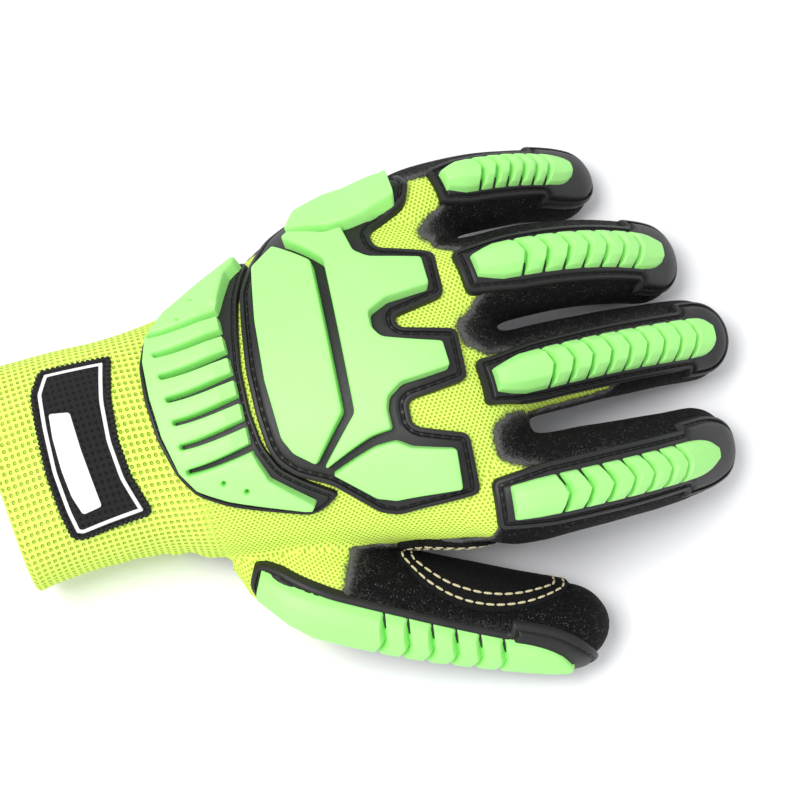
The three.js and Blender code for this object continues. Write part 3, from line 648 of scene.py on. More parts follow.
@dataclass
class Relief:
    """A moulded sheet: heights that follow the distance from its outline, laid on a carrier.

    The outline and its level lines are the edges of the mesh, so every step in the profile is
    a clean line that runs parallel to the outline.
    """

    loops: Sequence[Array]
    profile: Sequence[tuple[float, float]]
    lay: Layer
    cell: float = 0.5
    inner: float = 2.2
    # points of a level line closer together than this are dropped
    least: float = 0.12
    # the strip between two distances, where the sheet is only that
    band: tuple[float, float] = (0.0, 1e9)
    lift: Callable[[Array], Array] | None = None

    def height(self, distance: Array, spots: Array) -> Array:
        """Height over the knit at a distance from the outline."""
        d, h = zip(*self.profile)
        value = np.interp(distance, d, h)
        return value if self.lift is None else value + self.lift(spots) * np.clip(distance, 0, 1)

    def field(self) -> tuple[Array, Array, Array]:
        """Distances from the outline on a grid that covers it."""
        low = np.min([loop.min(0) for loop in self.loops], axis=0) - 2 * self.cell
        high = np.max([loop.max(0) for loop in self.loops], axis=0) + 2 * self.cell
        xs, ys = (np.arange(low[k], high[k] + self.cell, self.cell) for k in range(2))
        spots = np.stack(np.meshgrid(xs, ys, indexing="ij"), -1).reshape(-1, 2)
        return outline_distance(spots, self.loops).reshape(len(xs), len(ys)), xs, ys

    def skin(self) -> Skin:
        """The sheet's mesh: level lines and inner points joined by constrained triangles.

        Returns:
            The mesh with its distance from the outline as the value "edge".
        """
        values, xs, ys = self.field()
        spots, depth, edges = [], [], []
        count = 0
        for d, _ in self.profile:
            if not self.band[0] <= d <= self.band[1]:
                continue
            for run in level_lines(values, xs, ys, max(d, SLIGHT)):
                step = np.linalg.norm(np.diff(run[:-1], axis=0), axis=1)
                run = run[:-1][np.concatenate([[True], step > self.least])]
                spots.append(run)
                depth.append(np.full(len(run), max(d, SLIGHT)))
                number = count + np.arange(len(run))
                edges.append(np.stack([number, np.roll(number, -1)], -1))
                count += len(run)
        if self.band[1] > values.max():
            stride = max(int(round(self.inner / self.cell)), 1)
            coarse = values[::stride, ::stride]
            i, j = np.nonzero(coarse > self.profile[-1][0] + 0.6 * self.inner)
            spots.append(np.stack([xs[::stride][i], ys[::stride][j]], -1))
            depth.append(coarse[i, j])
        flat, deep = np.concatenate(spots), np.concatenate(depth)
        out = delaunay_2d_cdt([Vector(p) for p in flat.tolist()],
                              np.concatenate(edges).tolist(), [], 0, 1e-4, True)
        made = np.array([p[:] for p in out[0]])
        source = np.array([ids[0] if ids else -1 for ids in out[3]])
        distance = np.where(source >= 0, deep[source], outline_distance(made, self.loops))
        faces = np.array(out[2])
        middle = outline_distance(made[faces].mean(1), self.loops)
        faces = faces[(middle > self.band[0] + SLIGHT) & (middle < self.band[1])]
        height = self.height(distance, made)
        points = self.lay(made[:, 0], made[:, 1], height)
        skin = Skin(points, self.turned_out(points, faces))
        skin.uv = corner_uv(skin.faces, made)
        skin.values["edge"] = distance
        return skin

    def turned_out(self, points: Array, faces: Array) -> Array:
        """Faces in the winding that points away from the carrier.

        Args:
            points: the mesh's points.
            faces: its faces.
        Returns:
            The faces, turned if need be.
        """
        probe = self.loops[0].mean(0)
        base = self.lay(probe[:1], probe[1:2], np.zeros(1))
        tip = self.lay(probe[:1], probe[1:2], np.ones(1))
        middle = points[faces].mean(1)
        near = np.argmin(((middle - base) ** 2).sum(1))
        a, b, c = points[faces[near]]
        facing = np.dot(np.cross(b - a, c - a), (tip - base)[0])
        return faces if facing > 0 else faces[:, ::-1]

    def line(self, distance: float, height: float, pitch: float) -> list[Run]:
        """Evenly spaced places along the line at a distance inside the outline.

        Args:
            distance: how far inside.
            height: height over the knit.
            pitch: spacing of the places.
        Returns:
            For each run: places, directions along the line and directions out.
        """
        values, xs, ys = self.field()
        runs = []
        for run in level_lines(values, xs, ys, distance):
            track = self.lay(run[:, 0], run[:, 1], np.full(len(run), height))
            above = self.lay(run[:, 0], run[:, 1], np.full(len(run), height + 1.0))
            runs.append(spaced(track, unit(above - track), pitch))
        return runs


def look_up(where: Array, run: Array, values: Array) -> Array:
    """Vectors at places along a path, between the given ones."""
    return np.stack([np.interp(where, run, values[:, k]) for k in range(3)], -1)


def spaced(track: Array, out: Array, pitch: float) -> Run:
    """Places at even spacing along a path, with directions along it and out of it.

    Args:
        track: points of the path.
        out: directions out at them.
        pitch: the spacing.
    Returns:
        Places, directions along and directions out.
    """
    run = np.concatenate([[0], np.cumsum(np.linalg.norm(np.diff(track, axis=0), axis=1))])
    count = max(int(run[-1] / pitch), 1)
    at = (np.arange(count) + 0.5) * run[-1] / count
    reach = 0.3 * pitch
    along = unit(look_up(at + reach, run, track) - look_up(at - reach, run, track))
    return look_up(at, run, track), along, unit(look_up(at, run, out))


def stitch_skin(runs: Sequence[Run], length: float, radius: float) -> Skin:
    """Stitches as small capsules, each a four-ring tube that dips at its ends.

    Args:
        runs: places, directions along and directions out.
        length: length of a stitch.
        radius: radius of the thread.
    Returns:
        One mesh of all the stitches.
    """
    place, along, out = (np.concatenate([run[k] for run in runs]) for k in range(3))
    side = unit(np.cross(out, along))
    out = np.cross(along, side)
    t = np.array([-1.0, -0.86, -0.45, 0.45, 0.86, 1.0])
    girth = np.array([0.25, 0.72, 1.0, 1.0, 0.72, 0.25])
    dip = -0.75 * radius * (t ** 4)
    angle = np.arange(6) * math.pi / 3
    thick = girth[:, None] * radius
    aside = (thick * np.cos(angle))[None, :, :, None]
    above = (thick * np.sin(angle) + dip[:, None])[None, :, :, None]
    shape = (along[:, None, None] * (t * length / 2)[None, :, None, None]
             + side[:, None, None] * aside + out[:, None, None] * above)
    points = (place[:, None, None] + shape).reshape(-1, 3)
    quads = grid_faces(6, 6, True)
    caps = [tuple(range(5, -1, -1)), tuple(range(30, 36))]
    faces: list[tuple[int, ...]] = []
    for k in range(len(place)):
        faces += [tuple(f) for f in (quads[:, ::-1] + 36 * k).tolist()]
        faces += [tuple(reversed([36 * k + i for i in cap])) for cap in caps]
    flat = np.stack([np.repeat(t, 6), np.tile(angle, 6)], -1)
    return Skin(points, faces, corner_uv(faces, np.tile(flat, (len(place), 1))))


@dataclass
class HandSkin:
    """The blended surface of palm and digits that every sewn and dipped layer follows."""

    voxel: float = 1.35
    # rounds of smoothing, and how far out the surface is moved to make up for them
    rounds: int = 12
    regain: float = 0.18
    # where the cuff ends
    cut: float = -116.0

    def build(self) -> "HandSkin":
        """Joins the tubes by a voxel remesh, smooths the creases, and cuts the cuff open.

        Returns:
            The surface itself.
        """
        parts = [closed_tube(PALM.ring(self.palm_rows()[:, None], self.turns(96)[None], 0.0))]
        for digit in DIGITS.values():
            start = digit.length - digit.dome
            dome = np.linspace(start, digit.skin, 16)[1:-1]
            u = np.concatenate([np.linspace(0, start, 60), dome, [digit.skin - 0.05]])
            parts.append(closed_tube(digit.ring(u[:, None], self.turns(48)[None], 0.0)))
        points, faces = self.remeshed(parts)
        edges = quad_edges(faces)
        for _ in range(self.rounds):
            points = mix(points, neighbour_mean(points, edges, len(points)), 0.5)
        points = points + point_normals(points, faces) * self.regain
        self.points, self.faces = self.opened(points, faces)
        self.edges = quad_edges(self.faces)
        self.locate()
        self.crumple()
        self.normals = point_normals(self.points, self.faces)
        return self

    def palm_rows(self) -> Array:
        """Rows of the palm tube, closer together over the web, with spare length at the cuff."""
        start = PALM.front - PALM.web
        rounding = start + PALM.web * np.sin(np.linspace(0, math.pi / 2, 12))[1:]
        return np.concatenate([np.linspace(PALM.cuff - 8, start, 90), rounding])

    @staticmethod
    def turns(sides: int) -> Array:
        """Angles round a section."""
        return np.arange(sides) * TURN / sides

    def remeshed(self, parts: Sequence[tuple[Array, list[tuple[int, ...]]]]) -> tuple[Array, Array]:
        """One closed mesh of quads round all the tubes.

        Args:
            parts: points and faces of each tube.
        Returns:
            Its points and its quads.
        """
        mesh = bpy.data.meshes.new("tubes")
        points, faces, count = [], [], 0
        for p, f in parts:
            points.append(p)
            faces += [tuple(i + count for i in face) for face in f]
            count += len(p)
        mesh.from_pydata(np.concatenate(points).tolist(), [], faces)
        form = bmesh.new()
        form.from_mesh(mesh)
        bmesh.ops.recalc_face_normals(form, faces=form.faces)
        form.to_mesh(mesh)
        form.free()
        obj = bpy.data.objects.new("tubes", mesh)
        bpy.context.scene.collection.objects.link(obj)
        remesh = obj.modifiers.new("join", "REMESH")
        remesh.mode = "VOXEL"
        remesh.voxel_size = self.voxel
        graph = bpy.context.evaluated_depsgraph_get()
        done = bpy.data.meshes.new_from_object(obj.evaluated_get(graph))
        out = np.zeros(len(done.vertices) * 3)
        done.vertices.foreach_get("co", out)
        quads = np.array([p.vertices[:] for p in done.polygons if len(p.vertices) == 4])
        bpy.data.objects.remove(obj)
        bpy.data.meshes.remove(mesh)
        bpy.data.meshes.remove(done)
        return out.reshape(-1, 3), quads

    def opened(self, points: Array, faces: Array) -> tuple[Array, Array]:
        """Mesh without what lies behind the cuff's edge; the rim's points are moved onto it.

        Args:
            points: the mesh's points.
            faces: its quads.
        Returns:
            The new points and quads.
        """
        keep = (points[faces][:, :, 0] > self.cut - 0.55 * self.voxel).all(1)
        faces = faces[keep]
        used = np.unique(faces)
        number = np.full(len(points), -1)
        number[used] = np.arange(len(used))
        points, faces = points[used].copy(), number[faces]
        self.rim = rim_loop(faces)
        points[self.rim, 0] = self.cut
        return points, faces

    def locate(self) -> None:
        """Finds for each point the part it lies on and its distances along and across there."""
        self.away = {"palm": PALM.inside(self.points)}
        for name, digit in DIGITS.items():
            self.away[name] = digit.inside(self.points)
        self.parts = list(self.away)
        gaps = np.abs(np.stack([self.away[name][0] for name in self.parts]))
        self.owner = gaps.argmin(0)

    def across(self, name: str) -> Array:
        """Distance round the surface from the back of one part."""
        _, u, turn = self.away[name]
        if name == "palm":
            return COVER.arc_at(u, turn)
        wide, deep = DIGITS[name].half_sizes(u)
        return turn * (wide + deep) / 2

    def weave_uv(self, faces: Array) -> Array:
        """UV of each face corner in millimetres along and across the part the face lies on.

        Args:
            faces: the quads.
        Returns:
            A UV for each corner.
        """
        owner = self.owner[faces]
        chosen = np.array(owner[:, 0])
        uv = np.zeros((len(faces), 4, 2))
        for k, name in enumerate(self.parts):
            mine = chosen == k
            run = self.across(name)[faces[mine]]
            uv[mine, :, 0] = self.away[name][1][faces[mine]]
            uv[mine, :, 1] = run
            jump = run - run[:, :1]
            span = np.abs(run).max() * 2 if len(run) else 0
            uv[mine, :, 1] -= np.where(np.abs(jump) > span / 2, np.sign(jump) * span, 0)
        return uv.reshape(-1, 2)

    def crumple(self) -> None:
        """Shallow folds of the fabric round the wrist and at the thumb's root."""
        p = self.points
        normals = point_normals(p, self.faces)
        wrist = np.exp(-((p[:, 0] + 62) / 22) ** 2) * smooth((24 - p[:, 2]) / 18 + 0.4)
        folds = np.sin(p[:, 0] / 2.6 + 0.05 * p[:, 1] + 1.6 * soft_noise(p, 17.0)) * 0.45
        puckers = np.sin(p[:, 0] / 1.35 + 2.2 * soft_noise(p, 15.0)) * 0.75
        puckers *= smooth(-p[:, 1] / 16)
        loose = soft_noise(p, 13.0, 2.0) * 0.22
        cuff = smooth((-88 - p[:, 0]) / 20) * soft_noise(p, 21.0, 5.0) * 0.5
        self.points = p + normals * (wrist * (folds + puckers) + loose + cuff)[:, None]
        self.points[:, 2] = np.maximum(self.points[:, 2], COAT_TOP)
        self.points[self.rim, 0] = self.cut

    def blend_field(self, rules: dict[str, Array]) -> Array:
        """Largest of the parts' values, each held back where another part lies nearer.

        Args:
            rules: each part's values.
        Returns:
            One value for each point.
        """
        total = np.full(len(self.points), -1e3)
        nearest = np.min([np.abs(away) for away, _, _ in self.away.values()], axis=0)
        for name, value in rules.items():
            off = np.maximum(np.abs(self.away[name][0]) - nearest - 1.2, 0)
            total = np.maximum(total, np.minimum(value, 6.0) - 3.0 * off)
        return total


def rim_loop(faces: Array) -> Array:
    """Point numbers round the open rim, in order."""
    runs = chain_loops(np.sort(open_sides(faces), axis=1))
    return max(runs, key=len)[:-1]


@dataclass
class LayerSheet:
    """A sheet that lies on part of the hand's surface, where a field is above zero."""

    hand: HandSkin
    values: Array
    low: float
    high: float
    edge: float = 1.2
    # how far the wall reaches into the surface
    sunk: float = 0.35

    def skin(self) -> Skin:
        """The sheet: faces where the field is positive, with a wall down to the surface.

        Its rim is moved onto the field's zero line, and it is raised by
        low + (high - low) * smooth(field / edge).
        Returns:
            The sheet with the value "edge" on its points.
        """
        hand = self.hand
        inside = self.values > 0
        faces = hand.faces[inside[hand.faces].any(1)]
        used = np.unique(faces)
        number = np.full(len(hand.points), -1)
        number[used] = np.arange(len(used))
        faces = number[faces]
        points, value = hand.points[used].copy(), self.values[used]
        normals = hand.normals[used]
        outside = value < 0
        edges = hand.edges[(number[hand.edges] >= 0).all(1)]
        edges = number[edges]
        slope = self.gradient(points, value, edges)
        steep = np.maximum((slope ** 2).sum(1), 0.04)
        move = -slope * (value / steep)[:, None]
        reach = np.linalg.norm(move, axis=1, keepdims=True)
        move *= np.minimum(1.0, 1.6 * hand.voxel / np.maximum(reach, 1e-9))
        points[outside] += move[outside]
        value = np.where(outside, 0.0, value)
        height = mix(self.low, self.high, smooth(value / self.edge))
        top = points + normals * height[:, None]
        top[:, 2] = np.maximum(top[:, 2], 0.0)
        rim = open_sides(faces)
        rim_points = np.unique(rim)
        under = np.full(len(points), -1)
        under[rim_points] = len(points) + np.arange(len(rim_points))
        sunk = points[rim_points] - normals[rim_points] * self.sunk
        wall = np.stack([rim[:, 1], rim[:, 0], under[rim[:, 0]], under[rim[:, 1]]], -1)
        skin = Skin(np.concatenate([top, sunk]), np.concatenate([faces, wall]))
        skin.values["edge"] = np.concatenate([value, np.zeros(len(rim_points))])
        skin.uv = np.concatenate([hand.weave_uv(used[faces]), np.zeros((4 * len(wall), 2))])
        return skin

    @staticmethod
    def gradient(points: Array, value: Array, edges: Array) -> Array:
        """Rough gradient of a value over the surface from the differences along its edges.

        Args:
            points: the points.
            value: their values.
            edges: pairs of point numbers.
        Returns:
            A vector for each point.
        """
        step = points[edges[:, 1]] - points[edges[:, 0]]
        rise = (value[edges[:, 1]] - value[edges[:, 0]])[:, None]
        length2 = (step ** 2).sum(1, keepdims=True)
        total = np.zeros_like(points)
        count = np.zeros(len(points))
        for k in range(2):
            np.add.at(total, edges[:, k], step * rise / length2)
            np.add.at(count, edges[:, k], 0.5)
        return total / np.maximum(count, 1)[:, None]

    def line(self, level: float, height: float, pitch: float) -> list[Run]:
        """Evenly spaced places along a level line of the field, for stitches.

        Args:
            level: the field's value on the line.
            height: height over the knit.
            pitch: spacing of the places.
        Returns:
            For each run: places, directions along the line and directions out.
        """
        hand = self.hand
        v = self.values - level
        faces = hand.faces
        crossing: dict[tuple[int, int], int] = {}
        spots: list[Array] = []
        ups: list[Array] = []
        segments = []
        signs = v[faces] > 0
        mixed = faces[signs.any(1) & ~signs.all(1)]
        for quad in mixed.tolist():
            cut = []
            for k in range(4):
                a, b = sorted((quad[k], quad[(k + 1) % 4]))
                if (v[a] > 0) == (v[b] > 0):
                    continue
                if (a, b) not in crossing:
                    t = v[a] / (v[a] - v[b])
                    crossing[a, b] = len(spots)
                    spots.append(mix(hand.points[a], hand.points[b], t))
                    ups.append(mix(hand.normals[a], hand.normals[b], t))
                cut.append(crossing[a, b])
            if len(cut) == 2:
                segments.append(cut)
        places, out = np.array(spots), unit(np.array(ups))
        runs = []
        for run in chain_loops(np.array(segments)):
            if len(run) < 12:
                continue
            track = places[run] + out[run] * height
            for _ in range(3):
                track[1:-1] = (track[:-2] + 2 * track[1:-1] + track[2:]) / 4
            runs.append(spaced(track, out[run], pitch))
        return runs


@dataclass
class KnitBody:
    """The knitted glove: outer face, inner face and a turned hem at the cuff."""

    hand: HandSkin
    wall: float = 1.3
    # how far the cuff's edge swells
    hem: float = 0.55
    # the cuff is knitted as a waffle behind this distance along
    waffle: float = -56.0

    def skin(self, coat: Array) -> Skin:
        """Outer face, inner face a wall's thickness in, and a half-round rim between them.

        Args:
            coat: how far each point lies inside the dipped coating.
        Returns:
            The closed shell with the value "coat" on its points.
        """
        hand = self.hand
        faces, rim = hand.faces, hand.rim
        hem = np.exp(-((hand.points[:, 0] - hand.cut) / 2.6) ** 2) * self.hem
        outer = hand.points + hand.normals * hem[:, None]
        inner = hand.points - hand.normals * self.wall
        inner[:, 2] = np.maximum(inner[:, 2], COAT_TOP + self.wall)
        inner[rim, 0] = hand.cut
        count = len(outer)
        t = np.linspace(0, 1, 7)[1:-1]
        across = mix(outer[rim][None], inner[rim][None], t[:, None, None])
        across[..., 0] -= np.sin(t * math.pi)[:, None]
        strip = np.concatenate([outer[rim][None], across, inner[rim][None]])
        number = np.concatenate([rim[None], 2 * count + np.arange(5 * len(rim)).reshape(5, -1),
                                 count + rim[None]])
        quads = grid_faces(7, len(rim), True)
        band = number.reshape(-1)[quads]
        points = np.concatenate([outer, inner, across.reshape(-1, 3)])
        a, b, c = points[band[0, 0]], points[band[0, 1]], points[band[0, 2]]
        if np.cross(b - a, c - a)[0] > 0:
            band = band[:, ::-1]
        shell = np.concatenate([faces, faces[:, ::-1] + count, band])
        weave = hand.weave_uv(faces)
        turned = weave.reshape(-1, 4, 2)[:, ::-1].reshape(-1, 2)
        around = np.cumsum(np.linalg.norm(np.diff(strip[0], axis=0, append=strip[:1, 0]), axis=1))
        behind = hand.cut - np.arange(7)[:, None] * 0.5
        hem_uv = np.stack(np.broadcast_arrays(behind, around[None]), -1)
        skin = Skin(points, shell)
        skin.uv = np.concatenate([weave, turned, hem_uv.reshape(-1, 2)[quads].reshape(-1, 2)])
        skin.values["coat"] = np.concatenate([coat, np.full(count + 5 * len(rim), -9.0)])
        skin.values["waffle"] = smooth((self.waffle - points[:, 0]) / 12.0)
        return skin


@dataclass(frozen=True)
class DipReach:
    """How far the coating climbs round one digit, in degrees from its back.

    From start on, the edge goes from root to the first value of a side within the second one's
    millimetres.
    """

    start: float
    root: float
    little: tuple[float, float]
    thumb: tuple[float, float]

    def edge(self, u: Array, turn: Array) -> Array:
        """The edge's angle at distance u, on the side that turn lies on."""
        little, thumb = (mix(self.root, far, smooth((u - self.start) / climb))
                         for far, climb in (self.little, self.thumb))
        return np.where(turn > 0, little, thumb)


@dataclass
class DippedCoating:
    """The sandy black coating on the palm, the digits' sides and every fingertip."""

    hand: HandSkin
    palm_start: float = -70.1
    palm_little: tuple[float, float] = (112.0, 41.0)
    palm_thumb: tuple[float, float] = (246.0, 281.0)
    reach: dict[str, DipReach] = field(default_factory=lambda: {
        "little_finger": DipReach(1.0, 95.0, (14.0, 8.0), (14.0, 26.0)),
        "ring_finger": DipReach(2.0, 100.0, (17.0, 24.0), (26.0, 26.0)),
        "middle_finger": DipReach(2.0, 100.0, (12.0, 24.0), (22.0, 26.0)),
        "index_finger": DipReach(2.0, 104.0, (18.0, 22.0), (22.0, 7.0)),
        "thumb": DipReach(33.0, 34.0, (22.0, 22.0), (26.0, 26.0)),
    })
    # the bare strip of the middle finger: from, to, edge in degrees at its root and its end
    bare: tuple[float, float, float, float] = (6.0, 60.0, 90.0, 78.0)
    # the last stretch of every digit is covered all round
    tip: float = 16.0
    # the webs: middle behind the palm's front, middle across, half length, half breadth
    webs: tuple[tuple[float, float, float, float], ...] = (
        (2.0, -0.229, 10.5, 8.8), (1.0, 0.078, 10.5, 7.6), (0.0, 0.399, 11.0, 6.2))

    def field(self) -> Array:
        """Distance in millimetres inside the dip line at each point of the hand's surface.

        Returns:
            The distances.
        """
        hand = self.hand
        _, x, turn = hand.away["palm"]
        round_turn = np.degrees(np.mod(turn, TURN))
        along = smooth((x - self.palm_start) / (PALM.front - self.palm_start))
        little = (round_turn - mix(*self.palm_little, along)) * 0.62
        thumb = (mix(*self.palm_thumb, along) - round_turn) * 0.5
        rules = {"palm": np.minimum.reduce([little, thumb, x - self.palm_start])}
        for name, dip in self.reach.items():
            _, u, turn = hand.away[name]
            wide, deep = DIGITS[name].half_sizes(u)
            edge = dip.edge(u, turn)
            if name == "middle_finger":
                first, last, root, end = self.bare
                strip = smooth((u - first) / 8) * smooth((last - u) / 8)
                bare = mix(root, end, np.clip((u - first) / (last - first), 0, 1))
                edge = np.where(turn < 0, np.maximum(edge, strip * bare), edge)
            edge = mix(edge, -20.0, smooth((u - DIGITS[name].length + self.tip) / 7))
            rules[name] = np.minimum((np.abs(np.degrees(turn)) - edge) * RAD * (wide + deep) / 2,
                                     (u - dip.start) * 0.8)
        ragged = soft_noise(hand.points, 3.1, 1.0) * 0.35 + soft_noise(hand.points, 9.0, 4.0) * 0.5
        total = hand.blend_field(rules)
        for behind, across, half_length, half_breadth in self.webs:
            a = (hand.points[:, 0] - PALM.front + behind) / half_length
            b = (hand.points[:, 1] - across * PALM.breadth) / half_breadth
            near = (1 - np.sqrt(a * a + b * b)) * min(half_length, half_breadth)
            total = np.maximum(total, np.where(hand.points[:, 2] > 0.4 * PALM.height, near, -9.0))
        return total + ragged


@dataclass
class ThumbPatch:
    """The reinforcing patch sewn over the crotch of the thumb, with two rows of cream thread."""

    hand: HandSkin
    # from and to along the thumb, its edges in degrees round it, and the breadth of the cut
    start: float = 45.5
    end: float = 98.3
    upper: float = 52.0
    ends: float = 120.0
    lower: float = 172.0
    flat_breadth: float = 50.0

    def field(self) -> Array:
        """Distance in millimetres inside the patch's edge."""
        away, u, turn = self.hand.away["thumb"]
        share = np.clip((u - self.start) / (self.end - self.start), 0, 1)
        edge = mix(self.ends, self.upper, np.sin(share * math.pi) ** 0.5)
        wide, deep = DIGITS["thumb"].half_sizes(u)
        arm = RAD * (wide + deep) / 2
        degrees = np.degrees(turn)
        inside = np.minimum.reduce([(degrees - edge) * arm * 0.9, (self.lower - degrees) * arm,
                                    (u - self.start) * 0.9, (self.end - u) * 0.9])
        return inside - 1.5 * np.maximum(np.abs(away) - 4.0, 0)


BASE_PROFILE = ((0.0, -0.5), (0.12, 1.35), (0.38, 1.95), (0.9, 2.15), (1.5, 2.05), (1.8, 1.45),
                (2.45, 1.4), (2.7, 1.95), (3.0, 2.2), (4.0, 2.2))
PAD_PROFILE = ((0.0, 1.9), (0.28, 5.2), (0.40, 5.85), (0.60, 6.2), (0.95, 6.34), (1.8, 6.4))


@dataclass
class Plate:
    """A flat shape that lies over the back of the hand.

    Outlines are shares of its length, from its rear edge, and of its breadth, from the hand's
    middle line toward the little finger.
    """

    behind: float
    length: float
    breadth: float

    def outline(self, rows: Sequence[Sequence[float]], radius: float) -> Array:
        """Outline in millimetres along and across, from shares, with its corners rounded."""
        flat = np.array(rows) * [self.length, self.breadth] + [PALM.front - self.behind, 0.0]
        return rounded(flat, radius)


@dataclass
class HandGuard(Plate):
    """A moulded guard over the back of the hand: its base and the pads on it."""

    name: str
    base: Sequence[tuple[float, float]]
    pads: dict[str, Sequence[tuple[float, float]]]
    pad_round: float = 1.0
    base_profile: Sequence[tuple[float, float]] = BASE_PROFILE
    pad_profile: Sequence[tuple[float, float]] = PAD_PROFILE
    # distance inside the outline and height of the stitches
    seam: tuple[float, float] = (2.12, 1.6)
    pad_inner: float = 3.0
    # small blind holes in the pad: along, across, radius at the foot in millimetres
    holes: Sequence[tuple[float, float, float]] = ()
    hole_floor: float = 3.2
    # the blended root of the little finger stands this far outside the finger's own surface
    swell: float = 0.6
    # the lift over that root: of the pads, what the rim gets past them, and where they end along
    lift: float = 3.0
    rim_lift: float = 3.5
    pad_reach: float = 15.5

    def over(self, x: Array, across: Array, h: Array) -> Array:
        """Point over the back of the hand, raised where the root of the little finger swells.

        Args:
            x: distances along the hand.
            across: distances round it.
            h: height over the knit.
        Returns:
            The points.
        """
        p = COVER.over(x, across, h)
        digit = DIGITS["little_finger"]
        away, _, _ = digit.inside(p)
        level = np.broadcast_to(h, away.shape)
        most = self.lift + self.rim_lift * smooth((p[:, 0] - self.pad_reach) / 4.0)
        short = np.clip(level + self.swell - away, 0.0, most)
        near = smooth((p[:, 0] - digit.root[0] + 8.0) / 14.0)
        return p + digit.back * (short * near)[:, None]

    def base_relief(self) -> Relief:
        """The base: lip, stitch groove, inner step and the floor that the pads stand on."""
        return Relief([self.outline(self.base, 2.4)], self.base_profile, self.over)

    def slope(self, spots: Array) -> Array:
        """How far a pad's top falls at places on it; a plain pad's stays level."""
        return np.zeros(len(spots))

    def pad_skins(self) -> dict[str, Skin]:
        """Each pad: steep wall, small bevel and a level top, with its blind holes.

        Returns:
            The pads' meshes by node name.
        """
        skins = {}
        turn = np.arange(14) * math.pi / 7
        circle = np.stack([np.cos(turn), np.sin(turn)], -1)
        distances, heights = zip(*self.pad_profile)
        wall = np.interp(self.hole_floor, heights, distances)
        for name, rows in self.pads.items():
            loops = [self.outline(rows, self.pad_round)]
            floors = []
            for along, across, radius in self.holes:
                middle = np.array([along * self.length + PALM.front - self.behind,
                                   across * self.breadth])
                loops.append(middle + radius * circle)
                rim = middle + (radius + wall) * circle
                floors.append(self.over(rim[:, 0], rim[:, 1], np.full(len(rim), self.hole_floor)))
            pad = Relief(loops, self.pad_profile, self.over, cell=0.42, inner=self.pad_inner,
                         lift=self.slope)
            skins[name] = pad.skin().with_plates(floors)
        return skins


KNUCKLE_GUARD = HandGuard(
    74, 64, 112, "knuckle_guard",
    base=(
          (0.92, 0.590), (0.99, 0.466), (0.96, 0.408), (0.78, 0.355), (0.76, 0.338), (0.76, 0.290),
          (1.00, 0.241), (0.97, 0.106), (0.73, 0.075), (0.73, 0.046), (0.97, 0.013), (0.94, -0.126),
          (0.66, -0.151), (0.65, -0.206), (0.67, -0.218), (0.87, -0.257), (0.84, -0.414),
          (0.48, -0.432), (0.40, -0.408), (0.36, -0.380), (0.23, -0.290), (0.09, -0.234),
          (0.03, -0.188), (0.01, -0.145), (0.01, -0.061), (0.03, 0.057), (0.08, 0.192),
          (0.12, 0.287), (0.20, 0.373), (0.32, 0.480), (0.52, 0.570), (0.66, 0.600)),
    pads={
        "knuckle_pad_hand": (
            (0.345, 0.362), (0.475, 0.265), (0.385, -0.140), (0.205, -0.228), (0.120, -0.181),
            (0.088, -0.138), (0.097, 0.007), (0.142, 0.158), (0.217, 0.318)),
        "knuckle_pad_middle": (
            (0.385, 0.378), (0.425, 0.393), (0.575, 0.345), (0.655, 0.352), (0.665, 0.265),
            (0.710, 0.240), (0.915, 0.208), (0.905, 0.125), (0.720, 0.112), (0.630, 0.084),
            (0.620, 0.044), (0.645, 0.016), (0.875, -0.025), (0.870, -0.093), (0.660, -0.109),
            (0.590, -0.137), (0.570, -0.165), (0.563, -0.214), (0.465, -0.218), (0.245, -0.246),
            (0.235, -0.238), (0.425, -0.150), (0.520, 0.258)),
        "knuckle_pad_little": (
            (0.415, 0.408), (0.490, 0.488), (0.640, 0.520), (0.915, 0.508), (0.905, 0.400),
            (0.690, 0.370), (0.585, 0.366)),
        "knuckle_pad_index": (
            (0.255, -0.262), (0.470, -0.240), (0.565, -0.240), (0.620, -0.262), (0.790, -0.286),
            (0.770, -0.386), (0.495, -0.378), (0.415, -0.358)),
    })


